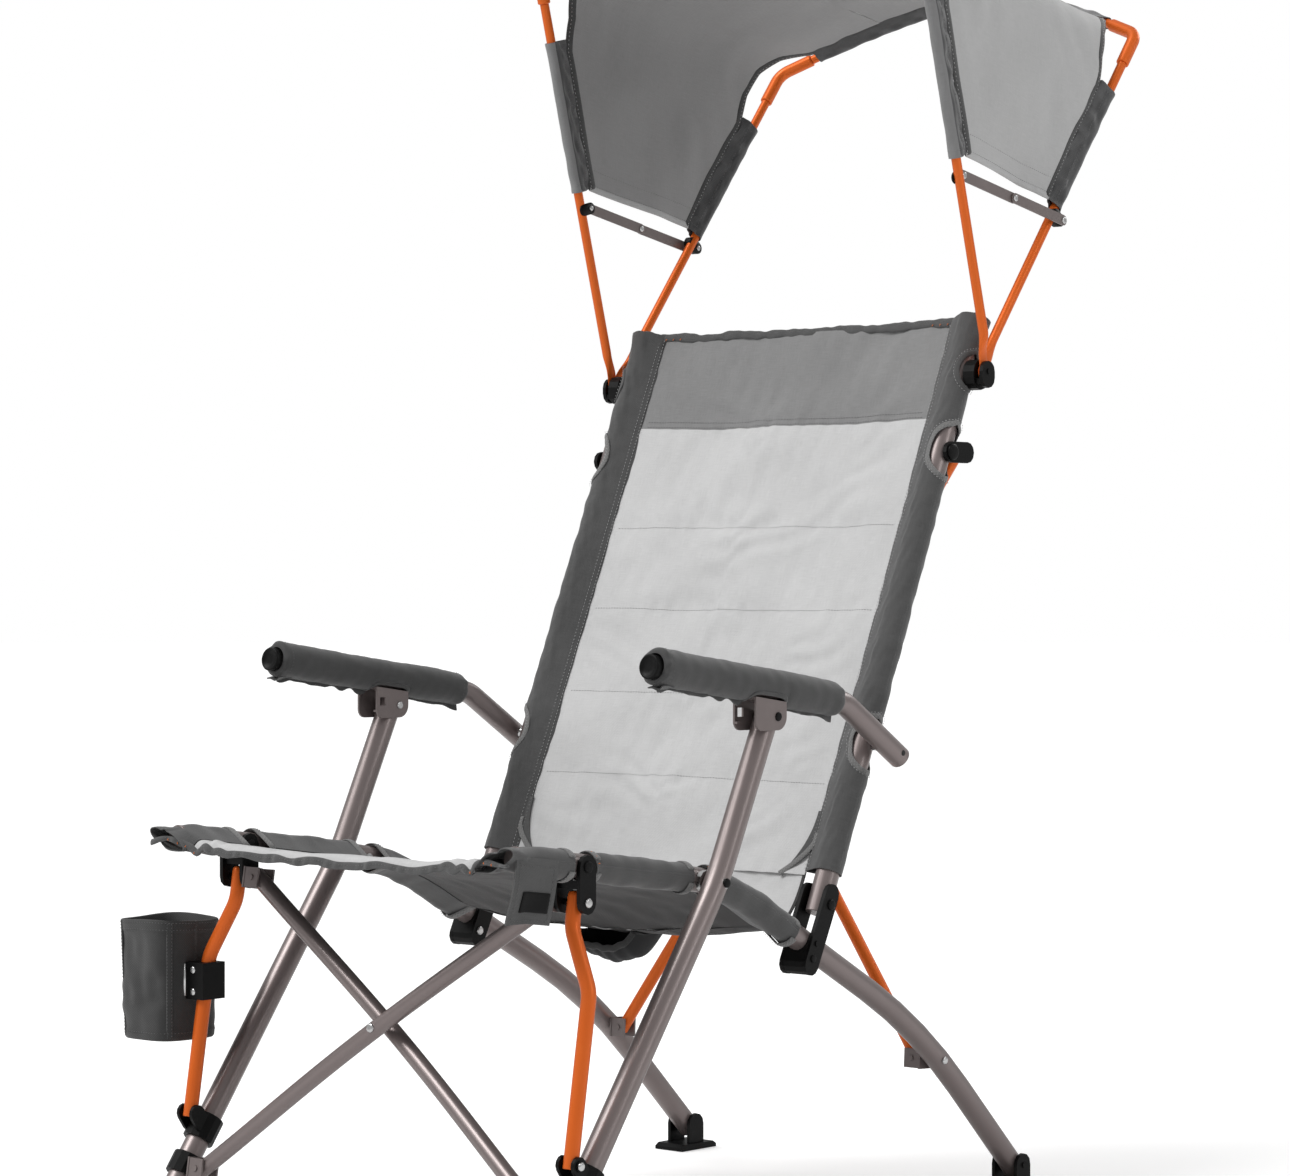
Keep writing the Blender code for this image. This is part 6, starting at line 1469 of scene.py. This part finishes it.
t = np.concatenate([np.linspace(0, 0.10, 22)[:-1], np.linspace(0.10, 1, 100)[:-1], np.linspace(1, 2, 30)])
x = np.linspace(-seat["half"] - 0.0045, seat["half"] + 0.0045, 112)
gridX, gridT = np.meshgrid(x, t)
grid = seatPoint(gridX, gridT, seatRelief(gridX, gridT))
# The sheet's lower face takes the dark under colour, a painted shade.
piece = shell("seatPanel", grid, seat["cloth"], lightCloth, "seat_rail_left", under=underCloth,
              replaces=["seat_sling"], slot="seat_fabric", squash=side["rail"])
# Painted shade also on the rim and on the top beyond the seat's width; only the middle of the top keeps the light
# cloth.
marks = np.ones(len(piece.data.polygons), np.int32)
cells = (grid.shape[0] - 1) * (grid.shape[1] - 1)
marks[:cells] = (np.abs(gridX[:-1, :-1] + gridX[1:, 1:]) / 2 > seat["half"] + 0.0002).ravel()
piece.data.polygons.foreach_set("material_index", marks)

# The front hem: a rolled, uneven edge that turns out flat at both corners.
line = np.linspace(-side["rail"] - 0.0165, side["rail"] + 0.0165, 220)
inside = np.clip(line, -seat["half"], seat["half"])
hem = seatPoint(inside, np.zeros_like(line), seatRelief(inside, 0 * line))
hem[:, 0] = line
over = np.clip((np.abs(line) - seat["half"] + 0.012) / 0.030, 0, 1)
hem[:, 1] += -0.0016 - 0.0095 * over ** 2 + 0.0016 * ripples(line, 0 * line, 0.05, 18) * (0.3 + over)
hem[:, 2] += 0.0015 + over * 0.0065 + 0.0014 * ripples(line, 0 * line, 0.045, 19) * (0.25 + over)
high = 0.0044 + 0.0005 * ripples(line, 0 * line, 0.035, 20) - 0.0016 * over
pipe("seatFrontHem", hem, np.stack([high, 0.0021 + 0.0005 * ripples(line, 0 * line, 0.012, 22)], 1), sleeveCloth,
     "seat_rail_left", sides=20, normal=np.array([0, 0.35, 1.0]), slot="seat_fabric", squash=side["rail"])
stitches("seatHemThread", "seat_rail_left", greyThread, "seat_fabric", hem + (0, -0.0022, 0.0010), (0, -1, 0.25),
         "round", squash=side["rail"])
for name, s in halves():
    for k in range(4):
        at = s * (0.2120 + 0.0120 * k)
        tack = hem[np.argmin(np.abs(line - at))] + np.array([0, -0.0024, -0.0030])
        stitches("seatTacks", "seat_rail_left", orangeThread, "seat_fabric",
                 np.array([tack, tack + (0.0004, -0.0002, 0.0058)]), (0, -1, 0.1), "seatTack", squash=side["rail"])

def seatSleeve(name, s, k, y0, y1):
    # One run of the cloth round a rail, with its end bindings and threads; the first is pressed flat in front.
    body, piece, rows = "seat_rail_" + name, f"{name}_{k}", seat["ends"]
    y = np.unique(np.concatenate([np.arange(y0, y1, 0.0040), [y1], y0 + rows, y1 - rows]))
    path = np.stack([np.full_like(y, s * side["rail"]), y, railHeight(y)], 1)
    flat = 0 * y
    if k == 0:
        path[:, 2] = railHeight(np.maximum(y, y0 + 0.004)) - 0.0010 * np.clip((y0 + 0.03 - y) / 0.03, 0, 1)
        flat = np.clip((y0 + seat["flat"] - y) / seat["flat"], 0, 1) ** 1.5
    share = np.clip((y - seat["front"]) / (seat["turn"] - seat["front"]), 0, None)
    after = np.clip((y - seat["turn"]) / 0.0999, 0, 1)
    edgeAt = seatPoint(np.full_like(y, s * seat["half"]), np.where(y <= seat["turn"], share, 1 + after * 0.25), 0 * y)
    toward = (edgeAt - path) * (1, 0, 1)
    rim = 0.0007 * np.exp(-((y - y0) / 0.004) ** 2) + 0.0007 * np.exp(-((y - y1) / 0.004) ** 2)
    base, seed = seat["sleeve"], 210 + 3 * k + (s > 0)

    def crumple(along, around):
        # The sleeve pressed flat at the front end, and its folds.
        turn = np.arctan2(around[1], around[0])
        wide, tall = base * (1 + 0.30 * flat[:, None]), base * (1 - 0.52 * flat[:, None])
        oval = 1 / np.sqrt((around[0] / wide) ** 2 + (around[1] / tall) ** 2) - base
        oval = oval * np.clip(1.6 + around[0] * 1.2, 0, 1)
        long = 0.0004 * ripples(along, np.sin(turn) * 0.02, 0.045, seed)
        short = 0.0002 * ripples(along, np.cos(turn) * 0.02, 0.025, seed + 1)
        return oval + long + short + 0.0018 * flat[:, None] * np.sin(turn * 3 + seed) * np.abs(around[1])

    _, _, outer = sock("seatSleeve_" + piece, path, -unit(toward), base + rim, 0.0012, sleeveCloth, body,
                       tip=np.linalg.norm(toward, axis=1) + 0.0010, bumps=crumple, slot="seat_fabric")
    threads = "seatSleeveThread_" + name
    for letter, end, way in (("a", 0, 1), ("b", -1, -1)):
        if k == 0 and letter == "a":
            continue
        arc = outer[end][4:-4]
        out = unit(arc - path[end])
        inward = np.array([0, seat["bound"] * way, 0])
        band(f"seatBinding_{piece}_{letter}", arc + inward + out * 0.0004, out, 0.0050, 0.0011, tapeCloth, body,
             closed=False, slot="seat_fabric")
        stitches(threads, body, greyThread, "seat_fabric", arc + inward * 2.6 + out * 0.0004, out, "sleeve")
    # Two rows of thread beside the panel.
    for off in (0.0035, 0.0090):
        line = edgeAt + (s * off, 0, base * off / 0.0365 * 0.9 + 0.0004)
        line[:, 1] = y
        stitches(threads, body, whiteThread, "seat_fabric", line, (0, 0, 1), "seatRow")
    if k > 0:
        for turn in (0.3, 0.8, 1.3):
            p = path[1] + (0, 0.0008, 0) + base * 1.055 * np.array([s * math.sin(turn), 0, math.cos(turn)])
            stitches("seatTacksSide_" + name, body, orangeThread, "seat_fabric", np.array([p, p + (0, 0.0058, 0)]),
                     (s * 0.6, 0, 0.6), "sideTack")


for name, s in halves():
    for k, run in enumerate(seat["runs"]):
        seatSleeve(name, s, k, *run)

# The stitched flap that hangs outside the near rail, with a plain patch on it.
flap = {"y": (-0.4375, -0.3740), "drop": 0.069, "skew": 0.017, "thick": 0.0022, "rows": 40, "columns": 34,
        "off": 0.0009, "bulge": 0.0016, "wave": 0.0012, "patch": (slice(20, 33), slice(8, 30)), "patchThick": 0.0016}
u, v = np.meshgrid(np.linspace(0, 1, flap["rows"]), np.linspace(0, 1, flap["columns"]), indexing="ij")
y = flap["y"][0] + (flap["y"][1] - flap["y"][0]) * v - flap["skew"] * u
z = railHeight(np.maximum(y, tube["rail"][0][0])) + 0.0035 - flap["drop"] * u
out = side["rail"] + seat["sleeve"] + flap["off"] + flap["bulge"] * np.sin(math.pi * np.clip(u * 1.2, 0, 1))
out = out + flap["wave"] * np.sin(v * 5 + u * 4) * u + 0.0010 * np.exp(-((v - 1) / 0.15) ** 2) * u
grid = np.stack([out - 0.0016 * np.clip(1 - u / 0.15, 0, 1) ** 2, y, z], -1)
shell("seatFlap", grid, flap["thick"], sleeveCloth, "seat_rail_left", slot="seat_fabric")
outward = sheetNormals(grid)
outward = outward * np.sign(outward[5, 5, 0])
raised = grid + outward * 0.0013
# Stitched along its four sides, a little way in.
for line in (raised[2:38, 3], raised[37, 3:31], raised[37:2:-1, 30], raised[5, 3:31]):
    stitches("seatFlapThread", "seat_rail_left", greyThread, "seat_fabric", line, (1, 0, 0), "plain")
patch = (grid + outward * 0.0019)[flap["patch"]]
thick = np.full(patch.shape[:2], flap["patchThick"])
thick[[0, -1], :] *= 0.45
thick[:, [0, -1]] *= 0.45
shell("seatFlapPatch", patch, thick, blackPlastic, "seat_rail_left", slot="black_plastic")

# The pouch under the seat: a lofted shell sewn to the sheet at its sides and rear, its front lip hanging open.
y0, y1, half, drop = seat["pouch"]
v, u = np.meshgrid(np.linspace(0, 1, 44), np.linspace(-1, 1, 60), indexing="ij")
y = y0 + (y1 - y0) * v
x = u * half * (1 - 0.05 * np.sin(math.pi * v))
columnT = np.linspace(0.8, 2, 200)
middleLine = seatPoint(np.zeros(200), columnT, np.zeros(200))
order = np.argsort(middleLine[:, 1])
under = np.interp(y, middleLine[order, 1], middleLine[order, 2])
depth = seatLine(np.interp(y, middleLine[order, 1], columnT[order]))[2]
ceiling = under + depth * (x / side["rail"]) ** 2
belly = np.maximum(np.sin(math.pi * np.clip(v * 0.86 + 0.14, 0, 1)), 0) ** 0.6 * (1 - np.abs(u) ** 4)
belly = belly * (1 + 0.05 * np.sin(u * 7 + v * 5)) + 0.02 * np.sin(u * 19 + v * 3) * (1 - np.abs(u) ** 4)
pouchGrid = np.stack([x, y - 0.004 * belly, ceiling - 0.0026 - (drop - 0.003) * belly], -1)
shell("pouchShell", pouchGrid, 0.0016, pocketCloth, "seat_rail_left", replaces=["pouch"], slot="dark_fabric",
      squash=side["rail"])
lip = pouchGrid[0]
band("pouchLip", lip, np.broadcast_to(np.array([0, -1.0, 0]), lip.shape), 0.0040, 0.0013, darkCloth, "seat_rail_left",
     closed=False, slot="dark_fabric", squash=side["rail"])
for k, edge in enumerate((pouchGrid[:, 0], pouchGrid[:, -1], pouchGrid[-1])):
    band(f"pouchSeam_{k}", edge + (0, 0, 0.0004), np.broadcast_to(np.array([0, 0.1, 1.0]), edge.shape), 0.0042,
         0.0010, pocketCloth, "seat_rail_left", closed=False, slot="dark_fabric", squash=side["rail"])
    stitches("pouchThread", "seat_rail_left", greyThread, "dark_fabric", edge + (0, 0, -0.0012), (0, 0, -1), "sleeve",
             squash=side["rail"])
print("seat made")


# Cup holder

cup = {"half": 0.0475, "corner": 0.022, "height": 0.140, "wall": 0.0030, "taper": 0.92, "middle": 0.280,
       "reach": 0.0080, "bound": 0.0007, "hem": 0.0135, "base": 0.0110, "inset": 0.0044, "floor": 0.0032}
low, high = cup["middle"] - cup["height"] / 2, cup["middle"] + cup["height"] / 2
line = strutLine(-1)
order = np.argsort(line[:, 2])
anchor = np.array([np.interp(cup["middle"], line[order, 2], line[order, k]) for k in range(3)])
face = side["leg"] + strut["radius"] + cup["reach"]
seatShare = (cup["height"] / 2 + 0.0210) / cup["height"]
cupAt = np.array([-(face + 0.0003 + cup["half"] * (cup["taper"] + (1 - cup["taper"]) * seatShare)), anchor[1]])


def cupHalf(z):
    # Half the cup's width at a height: it narrows towards its floor.
    return cup["half"] * (cup["taper"] + (1 - cup["taper"]) * (z - low) / cup["height"])


def cupSag(z, turn):
    # The mouth's rim hangs lower in some places than in others.
    share = (z - low) / cup["height"]
    return -0.0035 * max(0.0, share - 0.6) * (1 + np.sin(turn * 2 + 0.6))


def cupRing(half, corner, count=96):
    # A square with round corners, read at even angles.
    turn = np.linspace(0, 2 * math.pi, count, endpoint=False)
    corner = max(corner, 0.0004)
    power = 2.0 / max(0.16, min(1.0, corner / half * 1.15))
    heading = np.stack([np.cos(turn), np.sin(turn)], 1)
    return heading * half / (np.abs(heading) ** power).sum(1, keepdims=True) ** (1 / power), turn


profile = ((0.004, low + 0.0006), (0.5, low + 0.0002), (0.90, low))
heights = np.concatenate([[low + 0.0004, low + 0.0014, low + 0.0030], np.linspace(low + 0.006, high - 0.016, 30),
                         [high - 0.0145, high - 0.0132, high - 0.0120, high - 0.008, high - 0.004, high - 0.0016,
                         high - 0.0004]])
rings = []
for share, z in profile:
    ring, turn = cupRing(cup["half"] * cup["taper"] * share, cup["corner"] * share)
    rings.append(np.column_stack([ring, np.full(len(ring), z)]))
for z in heights:
    share = (z - low) / cup["height"]
    half = cupHalf(z)
    half -= 0.0014 * math.exp(-((z - low) / 0.0016) ** 2) + 0.0012 * math.exp(-((z - high) / 0.0012) ** 2)
    half += cup["bound"] if z > high - cup["hem"] else 0.0
    half += cup["bound"] if z < low + cup["base"] else 0.0
    ring, turn = cupRing(half, cup["corner"])
    swell = math.sin(math.pi * share)
    dent = (0.0014 * ripples(turn * 0.045, np.full_like(turn, z), 0.07, 301) * swell + 0.0006
            * ripples(turn * 0.045, np.full_like(turn, z), 0.025, 302) * swell)
    touch = np.clip((np.cos(turn) - 0.55) / 0.3, 0, 1)
    ring = ring * (1 + (dent * (1 - touch) - 0.0007 * touch) / half)[:, None]
    rings.append(np.column_stack([ring, z + cupSag(z, turn)]))
for z, shrink in ((high - 0.0002, 0.0016), (high - 0.0014, 0.0030), (high - 0.02, 0.0032), (high - 0.07, 0.0034),
                  (low + 0.010, 0.0034), (low + 0.0034, cup["inset"])):
    ring, turn = cupRing(cupHalf(z) - shrink, cup["corner"] - cup["wall"])
    rings.append(np.column_stack([ring, z + cupSag(z, turn)]))
for share in (0.5, 0.004):
    ring, turn = cupRing((cup["half"] * cup["taper"] - cup["inset"]) * share, (cup["corner"] - cup["wall"]) * share)
    rings.append(np.column_stack([ring, np.full(len(ring), low + cup["floor"])]))
rings = np.array(rings)
cupPoints = rings.reshape(-1, 3) + (*cupAt, 0)
count = rings.shape[1]
faces = tubeFaces(len(rings), count)
uv = spread(lengths(rings[:, 0]), turn * cup["half"], rings.shape[:2])
addMesh("cupHolder", cupPoints, faces, darkCloth, "strut_right", uv=uv, replaces=["cup_holder"], slot="dark_fabric",
        sharp=0)


def cupWall(turnAt, z, lift):
    # A place on the cup's outer wall.
    half = cupHalf(z)
    power = 2.0 / (cup["corner"] / half * 1.15)
    out = np.stack([np.cos(turnAt), np.sin(turnAt), 0 * turnAt], -1)
    r = half / (np.abs(out[:, :2]) ** power[:, None]).sum(1) ** (1 / power) + lift
    return np.append(cupAt, 0) + out * r[:, None] + np.outer(z, (0, 0, 1)), out


turn = np.linspace(0, 2 * math.pi, 240)
for z, lift in ((high - 0.0115, 0.0011), (high - 0.0035, 0.0010), (low + 0.0095, 0.0010)):
    path, out = cupWall(turn, z + cupSag(z, turn), lift)
    stitches("cupThread", "strut_right", whiteThread if z < cup["middle"] else greyThread, "dark_fabric", path, out,
             "sleeve")
for turnAt in (math.radians(232), math.radians(318)):
    z = np.linspace(low + 0.004, high - 0.004, 60)
    path, out = cupWall(np.full_like(z, turnAt), z, 0.0002)
    tangentSide = np.array([-math.sin(turnAt), math.cos(turnAt), 0])
    band(f"cupSeam_{round(math.degrees(turnAt))}", path, out, 0.0034, 0.0011, darkCloth, "strut_right", closed=False,
         slot="dark_fabric")
    for way in (-1, 1):
        stitches("cupThread", "strut_right", greyThread, "dark_fabric", path + tangentSide * way * 0.0026 + out
                 * 0.0010, out, "cupSeam")
# The steel strip between cup and clamp, with two screws on the clamp.
stripX0, stripX1 = -(face + 0.0096), -(face - 0.0006)
stripY, thick, screwUp, screw = anchor[1] - 0.0170, 0.0011, 0.0125, (0.0042, 0.0020)
box = np.array([[sx, sy, sz] for sz in (cup["middle"] - 0.0175, cup["middle"] + 0.0190) for sx,
               sy in ((stripX0, stripY - thick), (stripX1, stripY - thick), (stripX1, stripY), (stripX0, stripY))])
keep("cupStrip", "strut_right", boltSteel, "bolt_steel", box,
     [[3, 2, 1, 0], [4, 5, 6, 7], [0, 1, 5, 4], [1, 2, 6, 5], [2, 3, 7, 6], [3, 0, 4, 7]])
for up in (-screwUp, screwUp):
    steelDome("cupScrews", "strut_right", (-(side["leg"] + 0.0035), stripY, cup["middle"] + up), (0, -1, 0), *screw)
print("cup holder made")


# What each cloth was cut from

cut = {
    "backPanel": ("stretched", ["backSleeve_left", "backSleeve_right"]),
    "seatPanel": ("stretched", ["seatSleeve_left_1", "seatSleeve_right_1"]),
    "seatFlap": ("hung", ["seatSleeve_left_0"]),
    "pouchShell": ("hung", ["seatPanel"]),
    "canopySide_left": ("stretched", ["canopyGusset_front_left", "canopyGusset_rear_left"]),
    "canopySide_right": ("stretched", ["canopyGusset_front_right", "canopyGusset_rear_right"]),
    "canopyTopFront": ("stretched", ["archSleeve_front"]),
    "canopyTopRear": ("stretched", ["archSleeve_rear"]),
}
for name, (held, below) in cut.items():
    # Each sheet's flat size: its longest row, its longest column, and the sum of its cells.
    grid = grids[name]
    wide = float(np.linalg.norm(np.diff(grid, axis=1), axis=2).sum(1).max())
    long = float(np.linalg.norm(np.diff(grid, axis=0), axis=2).sum(0).max())
    cell = np.cross(grid[1:, :-1] - grid[:-1, :-1], grid[:-1, 1:] - grid[:-1, :-1])
    area = min(float(np.linalg.norm(cell, axis=2).sum()), wide * long)
    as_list(below)
    print("flat", name, round(wide, 3), round(long, 3), round(area, 4))


# Riding: the trims become pieces, and each piece is hung on its body; those with a second body are only baked in
# place

for name, entry in trims.items():
    addMesh(name, np.concatenate(entry["points"]), entry["faces"], sharp=0, **entry["more"])
for piece, body, squash, blend in parts:
    if blend:
        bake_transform(piece)
        continue
    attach(piece, body)
    if squash:
        squashKeep(squash)
        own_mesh(piece)
